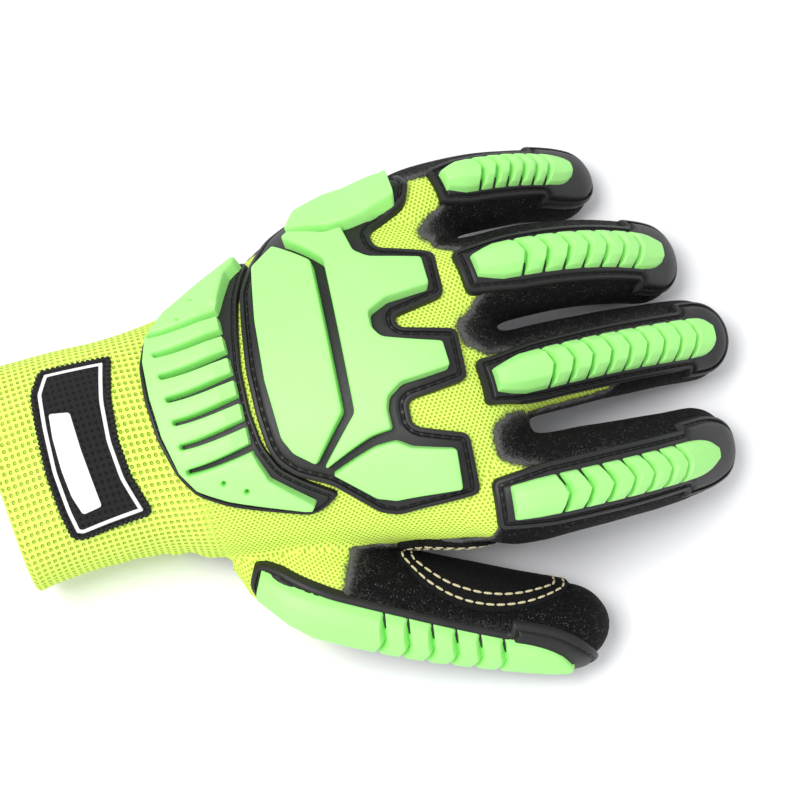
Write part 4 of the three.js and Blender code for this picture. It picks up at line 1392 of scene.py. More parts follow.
@dataclass
class CombGuard(HandGuard):
    """The guard whose pad is a comb: tapered slots run back from its front edge."""

    # the pad's outline behind the slots, and from the last slot to the front corner
    rear: Sequence[tuple[float, float]] = ()
    fore: Sequence[tuple[float, float]] = ()
    slots: int = 7
    # mouths of the first and the last slot, and how far the slots between them reach back
    first: tuple[float, float] = (0.630, -0.150)
    last: tuple[float, float] = (0.700, 0.262)
    slot_lengths: tuple[float, float] = (0.47, 0.52)
    lean: float = -0.014
    # widths of a slot in millimetres
    mouth: float = 1.75
    end: float = 0.95
    # the teeth fall toward their fronts by this much over this length
    fall: float = 1.7
    fall_length: float = 5.0

    def __post_init__(self) -> None:
        """Fills in the comb's outline."""
        first, last = np.array(self.first), np.array(self.last)
        wide, narrow = self.mouth / 2 / self.breadth, self.end / 2 / self.breadth
        front: list[tuple[float, float]] = []
        for i in range(self.slots):
            t = i / (self.slots - 1)
            mouth = first + (last - first) * t
            end = (mouth[0] - mix(*self.slot_lengths, t), mouth[1] + self.lean)
            front += [(mouth[0], mouth[1] - wide), (end[0], end[1] - narrow),
                      (end[0], end[1] + narrow), (mouth[0], mouth[1] + wide)]
        self.pads = {"hand_back_pad": [*self.rear, *front, *self.fore]}

    def slope(self, spots: Array) -> Array:
        """The teeth's fall, fall * clip(1 - distance behind the front line / fall_length)."""
        start = PALM.front - self.behind
        share = (spots[:, 1] / self.breadth - self.first[1]) / (self.last[1] - self.first[1])
        line = start + self.length * mix(self.first[0], self.last[0], np.clip(share, 0, 1))
        beside = smooth((share + 0.12) / 0.08) * smooth((1.12 - share) / 0.08)
        return -self.fall * beside * np.clip((spots[:, 0] - line) / self.fall_length + 1, 0, 1)


BACK_GUARD = CombGuard(
    102, 40, 96, "hand_back_guard",
    base=((0.965, 0.510), (0.63, 0.450), (0.30, 0.356), (0.12, 0.270), (0.035, 0.172),
          (0.00, 0.061), (0.00, -0.061), (0.055, -0.175), (0.145, -0.240), (0.35, -0.295),
          (0.865, -0.402), (0.975, -0.401), (1.12, -0.372), (0.885, -0.286), (0.765, -0.234),
          (0.700, -0.155), (0.690, -0.051), (0.725, 0.078), (0.795, 0.203), (0.868, 0.312),
          (0.968, 0.412), (1.04, 0.470)),
    rear=((0.955, 0.440), (0.990, 0.464), (0.950, 0.476), (0.645, 0.410), (0.330, 0.330),
          (0.150, 0.252), (0.075, 0.165), (0.048, 0.058), (0.048, -0.060), (0.095, -0.164),
          (0.180, -0.218), (0.365, -0.266), (0.860, -0.370), (0.915, -0.378), (0.950, -0.362),
          (0.900, -0.340), (0.800, -0.298), (0.690, -0.250), (0.630, -0.168)),
    fore=((0.740, 0.300), (0.870, 0.410)),
    pads={}, pad_round=0.4, seam=(1.5, 1.75), pad_inner=1.3,
    base_profile=((0.0, -0.5), (0.12, 1.3), (0.38, 1.9), (0.75, 2.05), (1.1, 1.95), (1.3, 1.6),
                  (1.7, 1.6), (1.9, 2.0), (2.4, 2.1)),
    pad_profile=((0.0, 1.6), (0.26, 4.9), (0.38, 5.6), (0.58, 5.98), (0.9, 6.13), (1.8, 6.2)),
    holes=((0.375, -0.214, 0.35), (0.512, -0.255, 0.38), (0.425, 0.281, 0.16),
           (0.562, 0.339, 0.16)))


@dataclass
class FingerGuard:
    """The guard of one digit: rubber base with a hood round the fingertip, and a block pad."""

    digit: DigitForm
    # middle line beside the digit's at root and tip, half widths, and the number of blocks
    side: tuple[float, float]
    base: float
    hood: float
    pad: float
    blocks: int
    # places along the digit, as shares of its length
    start: float
    pad_start: float
    first: float
    last: float
    pad_end: float
    hood_at: float
    tip: float
    # how far a groove's middle runs ahead, and its breadth
    chevron: float = 2.2
    groove: float = 1.8
    # the pad's rear half width as a share, and how far its front end closes
    blunt: float = 0.56
    taper: float = 0.86
    # half widths of the base's rear end as shares of its flank's, at distances from its start
    heel: tuple[tuple[float, float], ...] = ((0.0, 0.62), (1.2, 0.78))

    def place(self, share: float) -> float:
        """Distance along the digit from a share of its length."""
        return share * self.digit.length

    def over(self, u: Array, v: Array, h: Array) -> Array:
        """Point over the digit, v measured from the guard's own middle line."""
        line = mix(*self.side, u / self.digit.length)
        return PALM.clear_of(self.digit.over(u, line + v, h), h)

    def outline(self) -> Array:
        """Closed outline: narrow start, straight flank, a step out to the hood, a round end.

        The end closes like half * (1 - t^2.4)^0.5.
        Returns:
            Points, along the digit and across.
        """
        start, hood_at, tip = (self.place(s) for s in (self.start, self.hood_at, self.tip))
        span = hood_at - start
        rows = [(start + at, self.base * share) for at, share in self.heel]
        rows += [(start + 0.26 * span, self.base * 0.98), (start + 0.6 * span, self.base),
                (hood_at - 1.0, self.base * 0.97), (hood_at - 0.7, self.hood * 0.99),
                (hood_at + 1.4, self.hood)]
        bend = hood_at + 0.25 * (tip - hood_at)
        t = np.linspace(0, 0.985, 14)
        rows += list(zip(mix(bend, tip, t), self.hood * (1 - t ** 2.4) ** 0.5))
        half = np.array(rows)
        other = half[::-1] * [1, -1]
        return rounded(np.concatenate([half, other]), 0.7, 4)

    def base_relief(self) -> Relief:
        """The base, its floor lifted a little under the hood."""
        hood_at = self.place(self.hood_at)

        def lift(spots: Array) -> Array:
            """The hood's step."""
            return 0.25 * smooth((spots[:, 0] - hood_at + 0.4) / 0.8)

        return Relief([self.outline()], BASE_PROFILE, self.over, cell=0.42, lift=lift)

    def pad_rows(self) -> tuple[Array, Array, Array, Array]:
        """Rows of the pad: distance, height, half width and depth of the groove there."""
        first, last, end = (self.place(s) for s in (self.first, self.last, self.pad_end))
        begin = self.place(self.pad_start)

        def crown(u: float | Array) -> Array:
            """Height of the pad's top."""
            return 6.1 - smooth((u - first) / max(last - first, 1)) ** 1.5

        rows = [(begin, 1.7, self.blunt, 0), (begin + 0.15, 3.6, self.blunt + 0.02, 0),
                (begin + 0.4, 5.0, self.blunt + 0.04, 0), (begin + 0.9, 5.5, self.blunt + 0.07, 0)]
        for t in (0.3, 0.5, 0.75):
            u, near = mix(begin, first, t), min(2 * t, 1)
            half = mix(self.blunt + 0.06, 0.97, near) if t < 0.5 else mix(0.95, 1.0, t)
            rows.append((u, mix(5.6, crown(u), near), half, 0))
        cuts = np.linspace(first, last, self.blocks + 1)
        w = self.groove / 2
        for k, u in enumerate(cuts):
            h = crown(u)
            rows += [(u - w - 0.35, h, 1, 0), (u - w, h - 0.22, 1, 0.1), (u - 0.16, h, 1, 1),
                     (u + 0.16, h, 1, 1), (u + w, h - 0.22, 1, 0.1), (u + w + 0.35, h, 1, 0)]
            if k < len(cuts) - 1:
                rows.append((mix(u, cuts[k + 1], 0.5), crown(u), 1, 0))
        for t in np.linspace(0.35, 1, 9):
            u = mix(last, end - 0.9, t)
            rows.append((u, crown(last) - 0.5 * t, (1 - (self.taper * t) ** 3.2) ** 0.5, 0))
        tail = rows[-1][2]
        rows += [(end - 0.45, 4.0, tail * 0.93, 0), (end - 0.12, 3.0, tail * 0.84, 0),
                 (end, 1.7, tail * 0.8, 0)]
        return tuple(np.array(c) for c in zip(*rows))

    def pad_skin(self) -> Skin:
        """The pad: rows along it by a section with drafted walls, shoulders and a flat top.

        Each row is moved along by chevron * (0.5 - |v| / half), so the grooves point to the
        fingertip, and in a groove the top drops to a web that falls below the base at its ends.
        """
        u, height, half, groove = self.pad_rows()
        share = np.array([-1.05, -1.0, -0.96, -0.9, -0.66, -0.6, -0.54, -0.25, 0, 0.25, 0.54, 0.6,
                          0.66, 0.9, 0.96, 1.0, 1.05])
        wall = np.interp(np.abs(share), [0, 0.5, 0.56, 0.63, 0.93, 0.985, 1.0, 1.05],
                         [1.02, 1.0, 0.985, 0.95, 0.62, 0.56, 0.5, 0.0])
        floor = 1.7
        full = floor + (height[:, None] - floor) * wall
        web = mix(3.0, 1.3, smooth((np.abs(share) - 0.15) / 0.45))[None]
        h = mix(full, np.minimum(full, web), groove[:, None])
        v = half[:, None] * self.pad * share
        ends = smooth((u - self.place(self.first) + 6) / 6)
        ends *= smooth((self.place(self.last) + 5 - u) / 5)
        moved = self.chevron * (0.5 - np.abs(v) / self.pad) * ends[:, None]
        along = u[:, None] + moved
        points = self.over(along, v, h)
        faces = grid_faces(len(u), len(share))
        skin = Skin(points.reshape(-1, 3), faces)
        top, foot = (self.over(u[3:4], np.zeros(1), np.array([at])) for at in (8.0, 0.0))
        quad = skin.points[faces[8 * (len(share) - 1) + 8]]
        if np.dot(np.cross(quad[1] - quad[0], quad[2] - quad[0]), (top - foot)[0]) < 0:
            skin.faces = faces[:, ::-1]
        skin.uv = corner_uv(skin.faces, np.stack([along, v], -1).reshape(-1, 2))
        skin.values["edge"] = (np.abs(share)[None] * np.ones_like(h)).reshape(-1)
        return skin


FINGER_GUARDS = (
    FingerGuard(DIGITS["little_finger"], (-1.6, -5.0), 8.2, 11.4, 4.7, 5,
                0.223, 0.256, 0.393, 0.675, 0.806, 0.675, 0.983, taper=0.92),
    FingerGuard(DIGITS["ring_finger"], (-0.2, -4.8), 9.2, 13.2, 5.2, 6,
                0.175, 0.216, 0.352, 0.725, 0.842, 0.765, 0.965),
    FingerGuard(DIGITS["middle_finger"], (-4.8, -4.4), 9.6, 13.0, 5.6, 8,
                0.109, 0.145, 0.311, 0.794, 0.878, 0.799, 0.962),
    FingerGuard(DIGITS["index_finger"], (-2.4, -0.4), 9.4, 12.0, 5.2, 6,
                0.069, 0.117, 0.263, 0.628, 0.787, 0.681, 0.957, blunt=0.82,
                taper=0.93),
    FingerGuard(DIGITS["thumb"], (5.2, -4.4), 8.8, 12.6, 6.8, 5,
                0.058, 0.080, 0.416, 0.728, 0.915, 0.738, 0.982, blunt=0.50, taper=0.985,
                heel=((0.0, 0.34), (1.0, 0.52), (3.5, 0.72), (8.0, 0.88))),
)


@dataclass
class CuffLabel(Plate):
    """The sewn label on the cuff: dark cloth, a light border line and a blank write-on box."""

    behind: float = 135.0
    length: float = 28.0
    breadth: float = 53.0
    rows: tuple[tuple[float, float], ...] = (
        (0.24, 0.46), (0.99, 0.44), (0.86, 0.15), (0.81, -0.07), (0.82, -0.27), (0.91, -0.48),
        (0.86, -0.51), (0.16, -0.55), (0.04, -0.52), (0.01, -0.37), (0.00, -0.15), (0.04, 0.10),
        (0.09, 0.31))
    box: tuple[tuple[float, float], ...] = (
        (0.215, 0.166), (0.425, 0.142), (0.420, -0.075), (0.440, -0.392), (0.232, -0.408),
        (0.180, -0.300), (0.166, -0.150), (0.180, 0.028))

    def cloth(self) -> Relief:
        """The cloth, its edge bound a little thicker."""
        profile = ((0.0, -0.2), (0.1, 0.75), (0.4, 1.1), (0.9, 1.15), (1.3, 0.95), (2.2, 0.95))
        return Relief([self.outline(self.rows, 1.2)], profile, COVER.over, cell=0.5)

    def border(self) -> Relief:
        """The light line printed along the edge."""
        profile = ((2.1, 0.98), (2.25, 1.03), (3.05, 1.03), (3.2, 0.98))
        return Relief([self.outline(self.rows, 1.2)], profile, COVER.over, cell=0.4,
                      band=(2.09, 3.21))

    def write_box(self) -> Relief:
        """The blank box to write a name in."""
        profile = ((0.0, 0.97), (0.15, 1.04), (0.6, 1.04))
        return Relief([self.outline(self.box, 0.8)], profile, COVER.over, cell=0.4)


class Shade:
    """A socket in a node tree that takes arithmetic: an expression on it adds its Math nodes."""

    def __init__(self, kit: "NodeKit", socket: bpy.types.NodeSocket) -> None:
        """Wraps one output socket."""
        self.kit, self.socket = kit, socket

    def maths(self, operation: str, *values: "Shade | float") -> "Shade":
        """One Math node on this socket and other values."""
        inputs = dict(enumerate((self, *values)))
        made = self.kit.node("ShaderNodeMath", {"operation": operation}, inputs)
        return Shade(self.kit, made.outputs[0])

    def __add__(self, other: "Shade | float") -> "Shade":
        """Sum."""
        return self.maths("ADD", other)

    __radd__ = __add__

    def __mul__(self, other: "Shade | float") -> "Shade":
        """Product."""
        return self.maths("MULTIPLY", other)

    def __sub__(self, other: "Shade | float") -> "Shade":
        """Difference."""
        return self.maths("SUBTRACT", other)

    def __rsub__(self, other: float) -> "Shade":
        """Difference from a number."""
        return (self * -1.0) + other

    def fract(self) -> "Shade":
        """Part after the point."""
        return self.maths("FRACT")

    def sine(self) -> "Shade":
        """Sine."""
        return self.maths("SINE")

    def wave(self, pitch: float) -> "Shade":
        """Sine that repeats after a pitch."""
        return (self * (TURN / pitch)).sine()

    def least(self, other: "Shade | float") -> "Shade":
        """Smaller of two."""
        return self.maths("MINIMUM", other)

    def most(self, other: "Shade | float") -> "Shade":
        """Larger of two."""
        return self.maths("MAXIMUM", other)

    def root(self) -> "Shade":
        """Square root."""
        return self.maths("SQRT")

    def between(self, low: float, high: float) -> "Shade":
        """Smooth step from 0 at low to 1 at high."""
        inputs = {0: self, 1: low, 2: high, 3: 0.0, 4: 1.0}
        made = self.kit.node("ShaderNodeMapRange", {"interpolation_type": "SMOOTHSTEP"}, inputs)
        return Shade(self.kit, made.outputs[0])


Colour = tuple[float, float, float]
# pitches in millimetres: the cuff's cells along and round, and the label's weave
WAFFLE = (1.85, 2.1)
LABEL_WEAVE = 0.42


class NodeKit:
    """A new material with its shader, and one method that makes any other node."""

    def __init__(self, name: str, roughness: float, specular: float) -> None:
        """Clears the tree and adds the shader with its constant values."""
        self.material = bpy.data.materials.new(name)
        self.material.use_nodes = True
        self.tree = self.material.node_tree
        self.tree.nodes.clear()
        self.shader = self.tree.nodes.new("ShaderNodeBsdfPrincipled")
        self.shader.inputs["Roughness"].default_value = roughness
        self.shader.inputs["Specular IOR Level"].default_value = specular
        output = self.tree.nodes.new("ShaderNodeOutputMaterial")
        self.tree.links.new(self.shader.outputs[0], output.inputs[0])

    def node(self, kind: str, settings: dict[str, object],
             inputs: dict[int | str, object]) -> bpy.types.Node:
        """One node of any kind.

        Args:
            kind: the node's type.
            settings: its own settings, set before its sockets.
            inputs: values or links by socket.
        Returns:
            The node.
        """
        made = self.tree.nodes.new(kind)
        for key, value in settings.items():
            setattr(made, key, value)
        for key, value in inputs.items():
            self.feed(made.inputs[key], value)
        return made

    def feed(self, socket: bpy.types.NodeSocket, value: object) -> None:
        """Links a Shade into a socket, or sets its value."""
        if isinstance(value, Shade):
            self.tree.links.new(value.socket, socket)
        elif isinstance(value, tuple) and len(value) == 3 and socket.type == "RGBA":
            socket.default_value = (*value, 1.0)
        else:
            socket.default_value = value

    def place(self) -> Shade:
        """Object coordinates, in metres."""
        return Shade(self, self.node("ShaderNodeTexCoord", {}, {}).outputs["Object"])

    def surface(self) -> tuple[Shade, Shade]:
        """The piece's own UV, in millimetres along and across."""
        uv = self.node("ShaderNodeUVMap", {"uv_map": "surface"}, {})
        parts = self.node("ShaderNodeSeparateXYZ", {}, {0: Shade(self, uv.outputs[0])})
        return Shade(self, parts.outputs[0]), Shade(self, parts.outputs[1])

    def value(self, name: str) -> Shade:
        """A point value of the mesh."""
        made = self.node("ShaderNodeAttribute", {"attribute_name": name}, {})
        return Shade(self, made.outputs["Fac"])

    def noise(self, pitch: float, detail: float = 2.0, rough: float = 0.5) -> Shade:
        """Noise on Object coordinates with features of a pitch in millimetres."""
        inputs = {"Vector": self.place(), "Scale": 1.0 / (pitch * MM), "Detail": detail,
                  "Roughness": rough}
        return Shade(self, self.node("ShaderNodeTexNoise", {}, inputs).outputs[0])

    def grains(self, pitch: float) -> Shade:
        """Distance from the nearest of scattered points, for sand and pebbles."""
        inputs = {"Vector": self.place(), "Scale": 1.0 / (pitch * MM)}
        return Shade(self, self.node("ShaderNodeTexVoronoi", {}, inputs).outputs[0])

    @staticmethod
    def waffle(u: Shade, v: Shade) -> Shade:
        """Depth 0..1 of the cuff's cells, which repeat along and round."""
        along, round_cuff = WAFFLE
        return (u.wave(along) * 0.5 + 0.5) * (v.wave(round_cuff) * 0.5 + 0.5)

    @staticmethod
    def weave(u: Shade, v: Shade) -> Shade:
        """Over and under of the label's fine threads, -1..1."""
        return u.wave(LABEL_WEAVE) * v.wave(LABEL_WEAVE)

    def blend(self, factor: Shade | float, a: "Shade | Colour", b: "Shade | Colour") -> Shade:
        """Colour between a and b."""
        mixed = self.node("ShaderNodeMix", {"data_type": "RGBA"}, {0: factor, 6: a, 7: b})
        return Shade(self, mixed.outputs[2])

    def bump(self, height: Shade, depth: float, strength: float = 1.0,
             under: Shade | None = None) -> Shade:
        """Normal bent by a height, whose full range is depth millimetres."""
        inputs: dict[int | str, object] = {
            "Strength": strength, "Distance": depth * MM, "Height": height}
        if under is not None:
            inputs["Normal"] = under
        return Shade(self, self.node("ShaderNodeBump", {}, inputs).outputs[0])

    def finish(self, colour: Shade, roughness: Shade | float,
               normal: Shade | None) -> bpy.types.Material:
        """Feeds the shader and gives the material."""
        self.feed(self.shader.inputs["Base Color"], colour)
        self.feed(self.shader.inputs["Roughness"], roughness)
        if normal is not None:
            self.feed(self.shader.inputs["Normal"], normal)
        return self.material


@dataclass(frozen=True)
class KnitFinish:
    """High-visibility knit: staggered pinholes between the loops with painted shade, and grey where
    it is dipped.
    """

    yarn: Colour = (0.74, 0.98, 0.15)
    # painted shade: the colour that the pinholes and the cuff's cells darken to
    deep: Colour = (0.27, 0.46, 0.012)
    stained: Colour = (0.085, 0.09, 0.05)
    # spacing of the pinholes, along and round
    pinholes: tuple[float, float] = (1.38, 1.95)

    def build(self) -> bpy.types.Material:
        """The material: pinholes on the hand, deep cells on the cuff, both darkened with painted
        shade, and fuzz at the coating.
        """
        kit = NodeKit("knit_yarn", 0.85, 0.2)
        u, v = kit.surface()
        step, row = self.pinholes
        fine = kit.noise(0.4, 3.0)
        broad = kit.noise(14.0, 3.0)
        near = self.centre_distance(u, v, step, row).least(
            self.centre_distance(u + step / 2, v + row / 2, step, row))
        pin = 1 - near.between(0.14, 0.44)
        cells = kit.waffle(u, v).between(0.22, 0.85) * (0.55 + broad * 0.5)
        waffle = kit.value("waffle")
        dents = pin * (1 - waffle) + cells * waffle
        # painted shade in the pinholes and the cuff's cells, with random tone from the noise
        shade = (dents * 0.8 + fine * 0.30 + broad * 0.10 - 0.18).most(0.0).least(1.0)
        colour = kit.blend(shade, self.yarn, self.deep)
        fuzz = (kit.value("coat") + (kit.noise(0.9, 3.0, 0.7) - 0.5) * 3.2).between(-1.3, 0.3)
        colour = kit.blend(fuzz, colour, self.stained)
        height = fine * 0.45 - dents * (waffle * 1.0 + 0.6)
        return kit.finish(colour, 0.85, kit.bump(height, 0.6))

    @staticmethod
    def centre_distance(u: Shade, v: Shade, step: float, row: float) -> Shade:
        """Millimetres from the middle of the nearest cell of a grid."""
        x = ((u * (1 / step)).fract() - 0.5) * step
        y = ((v * (1 / row)).fract() - 0.5) * row
        return (x * x + y * y).root()


@dataclass(frozen=True)
class CoatingFinish:
    """Sandy dipped coating: fine grit, a few light dots painted as glints, and a fuzzy grey dip
    line.
    """

    black: Colour = (0.0022, 0.0022, 0.0022)
    grit: Colour = (0.020, 0.020, 0.0195)
    # painted highlight: the colour of the glints on the sandy grains
    painted_glint: Colour = (0.34, 0.34, 0.33)
    fuzz: Colour = (0.17, 0.17, 0.16)

    def build(self) -> bpy.types.Material:
        """The material: grit from scattered grains and noise, worn grey toward the sheet's edge."""
        kit = NodeKit("sandy_coating", 0.7, 0.13)
        fine = kit.noise(0.5, 3.0, 0.75)
        grains = kit.grains(0.6)
        colour = kit.blend(fine.between(0.46, 0.70) * 0.9, self.black, self.grit)
        # painted glints: light dots on scattered grains, standing for light caught by the sand
        painted_glints = (1 - grains.between(0.08, 0.27)) * kit.noise(2.2, 2.0).between(0.42, 0.62)
        colour = kit.blend(painted_glints * 0.7, colour, self.painted_glint)
        edge = kit.value("edge")
        rim = 1 - (edge + (kit.noise(0.8, 3.0, 0.75) - 0.5) * 3.4).between(0.2, 2.2)
        worn = (1 - (edge + (kit.noise(1.2, 4.0, 0.75) - 0.5) * 9.0).between(0.5, 5.5)) * 0.5
        colour = kit.blend(rim.most(worn * fine.between(0.42, 0.62)) * 0.8, colour, self.fuzz)
        rough = 0.5 + fine * 0.4
        normal = kit.bump(fine * 1.4 - grains * 0.7, 0.6)
        return kit.finish(colour, rough, kit.bump(kit.noise(5.0, 2.0), 0.5, 0.4, normal))


@dataclass(frozen=True)
class RubberFinish:
    """Moulded rubber with a faint skin, and colour that pales a little in random clouds."""

    name: str
    colour: Colour
    worn: Colour
    roughness: float
    grain: float

    def build(self) -> bpy.types.Material:
        """The material: broad clouding, dust in fine noise, and a satin skin."""
        kit = NodeKit(self.name, self.roughness, 0.45)
        cloud = kit.noise(9.0, 3.0)
        dust = kit.noise(0.8, 4.0, 0.65)
        mask = (cloud * 0.6 + dust * 0.6 - 0.38).between(0.0, 0.6)
        colour = kit.blend(mask * 0.6, self.colour, self.worn)
        rough = self.roughness - 0.08 + dust * 0.18
        return kit.finish(colour, rough, kit.bump(kit.noise(self.grain, 2.0), 0.05, 0.5))


@dataclass(frozen=True)
class PatchFinish:
    """Grained black cloth of the thumb patch."""

    black: Colour = (0.004, 0.004, 0.004)
    # painted highlight: the paler colour on the pebbles' raised tops
    worn: Colour = (0.045, 0.045, 0.043)

    def build(self) -> bpy.types.Material:
        """The material: pebbled grain with paler tops, a painted highlight."""
        kit = NodeKit("grained_patch", 0.8, 0.15)
        pebble = kit.grains(0.75)
        fine = kit.noise(0.3, 3.0, 0.7)
        # painted highlight: paler on the pebbles' raised tops, broken by fine noise
        tops = (1 - pebble.between(0.1, 0.55)) * fine.between(0.45, 0.75)
        colour = kit.blend(tops * 0.55, self.black, self.worn)
        return kit.finish(colour, 0.62 + fine * 0.3, kit.bump(fine * 0.5 - pebble, 0.25, 0.8))


@dataclass(frozen=True)
class LabelFinish:
    """Woven black label cloth that follows the waffle of the cuff under it, with painted shade in
    its cells.
    """

    black: Colour = (0.002, 0.002, 0.002)
    thread: Colour = (0.015, 0.015, 0.0145)

    def build(self) -> bpy.types.Material:
        """The material: rows of fine weave, and the shallow cells of the knit showing through,
        darkened with painted shade.
        """
        kit = NodeKit("label_cloth", 0.8, 0.3)
        u, v = kit.surface()
        weave = kit.weave(u, v)
        dents = kit.waffle(u, v).between(0.35, 0.85)
        fine = kit.noise(0.5, 3.0)
        # painted shade and highlight: darker in the knit's cells, a little lighter on the weave's
        # raised threads
        tone = (weave * 0.25 - dents * 0.8 + fine * 0.7 + 0.25).between(0.1, 0.9)
        colour = kit.blend(tone, self.black, self.thread)
        return kit.finish(colour, 0.8, kit.bump(weave * 0.12 - dents, 0.5, 0.9))


@dataclass(frozen=True)
class ThreadFinish:
    """Sewing thread, its twist as fine slanting ridges with painted shade in the grooves between
    them.
    """

    name: str
    colour: Colour
    # painted shade: the colour in the twist's grooves
    dark: Colour

    def build(self) -> bpy.types.Material:
        """The material: twist on the stitch's own UV, its grooves painted darker as shade."""
        kit = NodeKit(self.name, 0.7, 0.3)
        u, v = kit.surface()
        twist = (u * 14.0 + v * 2.0).sine()
        # painted shade: darker in the twist's grooves, with random tone from the noise
        tone = twist.between(-1.0, 1.0) * 0.6 + kit.noise(0.6, 2.0) * 0.3
        colour = kit.blend(tone, self.dark, self.colour)
        return kit.finish(colour, 0.7, kit.bump(twist, 0.06, 0.6))


@dataclass(frozen=True)
class PrintFinish:
    """Pale ink on the label, thin over the weave."""

    name: str
    ink: Colour
    faded: Colour

    def build(self) -> bpy.types.Material:
        """The material: ink broken a little by the weave."""
        kit = NodeKit(self.name, 0.6, 0.4)
        u, v = kit.surface()
        weave = kit.weave(u, v)
        wear = (weave * 0.2 + kit.noise(0.7, 3.0)).between(0.35, 0.8)
        return kit.finish(kit.blend(wear, self.ink, self.faded), 0.6, kit.bump(weave, 0.06, 0.5))


class Palette(Enum):
    """The glove's finishes."""

    KNIT = KnitFinish()
    COATING = CoatingFinish()
    BASE = RubberFinish("guard_rubber_dark", (0.008, 0.008, 0.0075), (0.021, 0.021, 0.020),
                        0.48, 0.6)
    PAD = RubberFinish("guard_rubber_green", (0.36, 0.84, 0.225), (0.40, 0.90, 0.26), 0.52, 0.5)
    PATCH = PatchFinish()
    LABEL = LabelFinish()
    DARK_THREAD = ThreadFinish("dark_thread", (0.03, 0.03, 0.03), (0.006, 0.006, 0.006))
    CREAM_THREAD = ThreadFinish("cream_thread", (0.86, 0.79, 0.52), (0.42, 0.36, 0.20))
    LINE_INK = PrintFinish("label_line_ink", (0.80, 0.80, 0.79), (0.62, 0.62, 0.61))
    BOX_INK = PrintFinish("write_box_ink", (0.82, 0.82, 0.81), (0.70, 0.70, 0.69))


class Glove:
    """Builds the glove's pieces in order and dresses them."""

    def __init__(self) -> None:
        """Makes each finish once and the surface that the layers follow."""
        self.finish = {item: item.value.build() for item in Palette}
        self.hand = HandSkin().build()

    def add(self, name: str, skin: Skin, finish: Palette, slot: str,
            *nodes: str) -> bpy.types.Object:
        """Makes one piece in one finish."""
        return make_piece(name, skin, self.finish[finish], nodes)

    def body(self) -> None:
        """The knit, the coating and the thumb patch with its stitches."""
        coat = DippedCoating(self.hand).field()
        patch = ThumbPatch(self.hand)
        self.add("knit_body", KnitBody(self.hand).skin(coat), Palette.KNIT, "knit", "knit_shell")
        coating = LayerSheet(self.hand, coat, 0.2, 0.95)
        self.add("dipped_coating", coating.skin(), Palette.COATING, "coating", "palm_coating")
        sheet = LayerSheet(self.hand, patch.field(), 1.6, 2.1, edge=0.8)
        skin = sheet.skin()
        cloth = self.add("crotch_patch", skin, Palette.PATCH, "patch", "thumb_crotch_patch")
        rows = sheet.line(1.7, 2.05, 3.1) + sheet.line(4.3, 2.1, 3.1)
        thread = stitch_skin(rows, 2.85, 0.38)
        stitches = self.add("crotch_patch_stitches", thread, Palette.CREAM_THREAD, "patch")
        patch.end * MM - patch.start * MM
        patch.flat_breadth * MM
        skin.area() * MM * MM

    def guard_base(self, name: str, relief: Relief, seam: tuple[float, float, float],
                   stitch: tuple[float, float]) -> None:
        """A guard's rubber base and its stitches.

        Args:
            name: the guard's name.
            relief: the base's sheet.
            seam: the stitches' distance inside the outline, their height and their spacing.
            stitch: length and radius of a stitch.
        """
        crease(self.add(f"{name}_rubber", relief.skin(), Palette.BASE, "guard_base",
                        f"{name}_base"), 40)
        self.add(f"{name}_stitches", stitch_skin(relief.line(*seam), *stitch),
                 Palette.DARK_THREAD, "guard_base")

    def hand_guards(self) -> None:
        """The two guards over the back of the hand, their pads and stitches."""
        for guard in (KNUCKLE_GUARD, BACK_GUARD):
            self.guard_base(guard.name, guard.base_relief(), (*guard.seam, 3.0), (2.3, 0.27))
            for name, pad in guard.pad_skins().items():
                crease(self.add(f"{name}_block", pad, Palette.PAD, "guard_pad", name), 40)

    def finger_guards(self) -> None:
        """The guards of the digits."""
        for guard in FINGER_GUARDS:
            name = f"{guard.digit.name}_guard"
            self.guard_base(name, guard.base_relief(), (2.12, 1.6, 2.9), (2.2, 0.26))
            crease(self.add(f"{name}_blocks", guard.pad_skin(), Palette.PAD, "guard_pad",
                            f"{name}_pad"), 30)

    def label(self) -> None:
        """The cuff label, its border line, its write-on box and its edge stitches."""
        label = CuffLabel()
        cloth = label.cloth()
        skin = cloth.skin()
        sheet = self.add("label_cloth", skin, Palette.LABEL, "label", "cuff_label")
        line = self.add("label_border_line", label.border().skin(), Palette.LINE_INK, "label")
        box = self.add("label_write_box", label.write_box().skin(), Palette.BOX_INK, "label")
        edging = stitch_skin([self.crossed(run) for run in cloth.line(0.5, 0.9, 1.5)], 1.6, 0.62)
        edge = self.add("label_edge_stitches", edging, Palette.DARK_THREAD, "label")
        skin.area() * MM * MM

    @staticmethod
    def crossed(run: Run) -> Run:
        """A run whose stitches lie across the line and lean a little along it."""
        place, along, out = run
        return place, unit(np.cross(out, along) + 0.25 * along), out


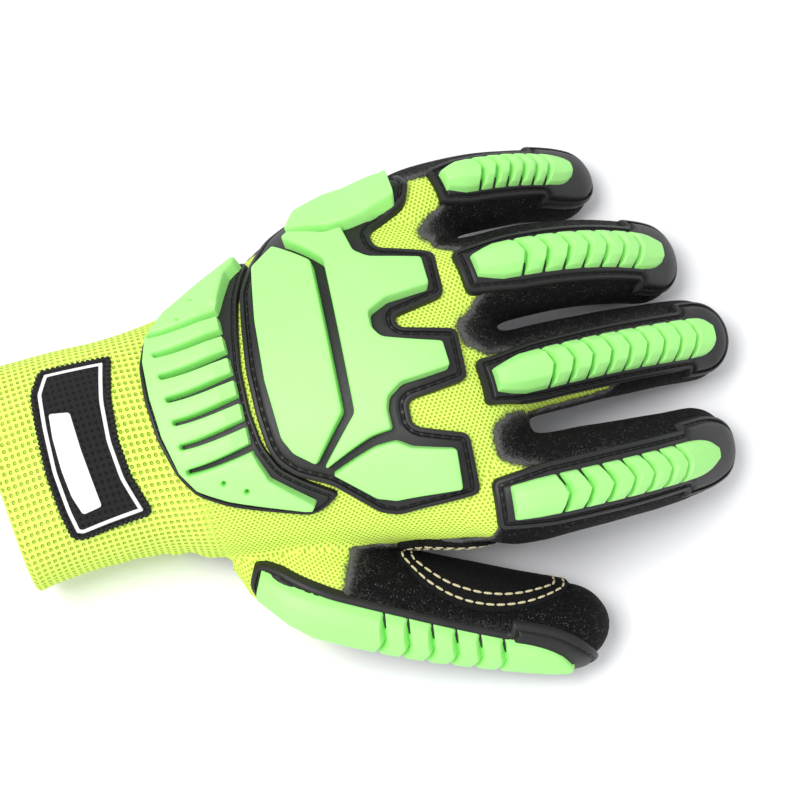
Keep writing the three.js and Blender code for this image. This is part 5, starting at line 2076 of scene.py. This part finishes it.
@dataclass
class Studio:
    """Pale floor, soft light from above and from the cuff's side, and the camera."""

    # the camera, in degrees and metres
    azimuth: float = -19.0
    elevation: float = 76.0
    distance: float = 0.750
    target: tuple[float, float, float] = (0.00644, 0.01003, 0.040)
    pixels_per_mm: float = 3.45
    pixels: float = 800.0
    sensor: float = 36.0
    floor_half: float = 3.0
    sky: tuple[float, float, float, float] = (0.97, 0.98, 1.0, 1.0)
    sky_strength: float = 0.84

    def floor(self) -> None:
        """One wide pale sheet under the glove."""
        half = self.floor_half
        mesh = bpy.data.meshes.new("floor")
        corners = [(-half, -half, 0), (half, -half, 0), (half, half, 0), (-half, half, 0)]
        mesh.from_pydata(corners, [], [(0, 1, 2, 3)])
        obj = bpy.data.objects.new("floor", mesh)
        bpy.context.scene.collection.objects.link(obj)
        kit = NodeKit("floor_paper", 0.9, 0.1)
        colour = kit.blend(kit.noise(60.0, 2.0), (0.93, 0.93, 0.94), (0.90, 0.90, 0.91))
        mesh.materials.append(kit.finish(colour, 0.9, None))

    def light(self, name: str, place: tuple[float, float, float], size: float,
              watts: float) -> None:
        """One square area light aimed at the glove.

        Args:
            name: the light's name.
            place: where it stands, in metres.
            size: length of its side, in metres.
            watts: its power.
        """
        data = bpy.data.lights.new(name, "AREA")
        data.shape = "SQUARE"
        data.size = size
        data.energy = watts
        obj = bpy.data.objects.new(name, data)
        obj.location = place
        aim = Vector(self.target) - Vector(place)
        obj.rotation_euler = aim.to_track_quat("-Z", "Y").to_euler()
        bpy.context.scene.collection.objects.link(obj)

    def build(self) -> None:
        """Floor, world, lights and camera."""
        self.floor()
        world = bpy.data.worlds.new("studio")
        world.use_nodes = True
        background = world.node_tree.nodes["Background"]
        background.inputs[0].default_value = self.sky
        background.inputs[1].default_value = self.sky_strength
        bpy.context.scene.world = world
        self.light("key", (-0.40, 0.10, 1.15), 0.5, 9.8)
        self.light("fill", (-0.70, -0.75, 0.90), 0.9, 2.0)
        bpy.context.scene.view_settings.view_transform = "Standard"
        self.camera()

    def camera(self) -> None:
        """Camera at the azimuth and elevation, its lens set from the scale at the target."""
        data = bpy.data.cameras.new("camera")
        data.sensor_width = self.sensor
        span = self.pixels / self.pixels_per_mm * MM
        data.lens = self.sensor * self.distance / span
        data.clip_start, data.clip_end = 0.01, 20.0
        a, e = self.azimuth * RAD, self.elevation * RAD
        back = Vector((math.sin(a) * math.cos(e), -math.cos(a) * math.cos(e), math.sin(e)))
        obj = bpy.data.objects.new("camera", data)
        obj.location = Vector(self.target) + back * self.distance
        obj.rotation_mode = "QUATERNION"
        right = Vector((math.cos(a), math.sin(a), 0.0))
        up = back.cross(right)
        obj.rotation_quaternion = self.turned(right, up, back)
        bpy.context.scene.collection.objects.link(obj)
        bpy.context.scene.camera = obj

    @staticmethod
    def turned(right: Vector, up: Vector, back: Vector) -> Quaternion:
        """Rotation of a frame whose axes are the three directions."""
        return Matrix((right, up, back)).transposed().to_quaternion()


def main() -> None:
    logging.basicConfig(level=logging.INFO, format="%(name)s %(message)s")
    glove = Glove()
    glove.body()
    glove.hand_guards()
    glove.finger_guards()
    glove.label()
    Studio().build()


if __name__ == "__main__":
    main()
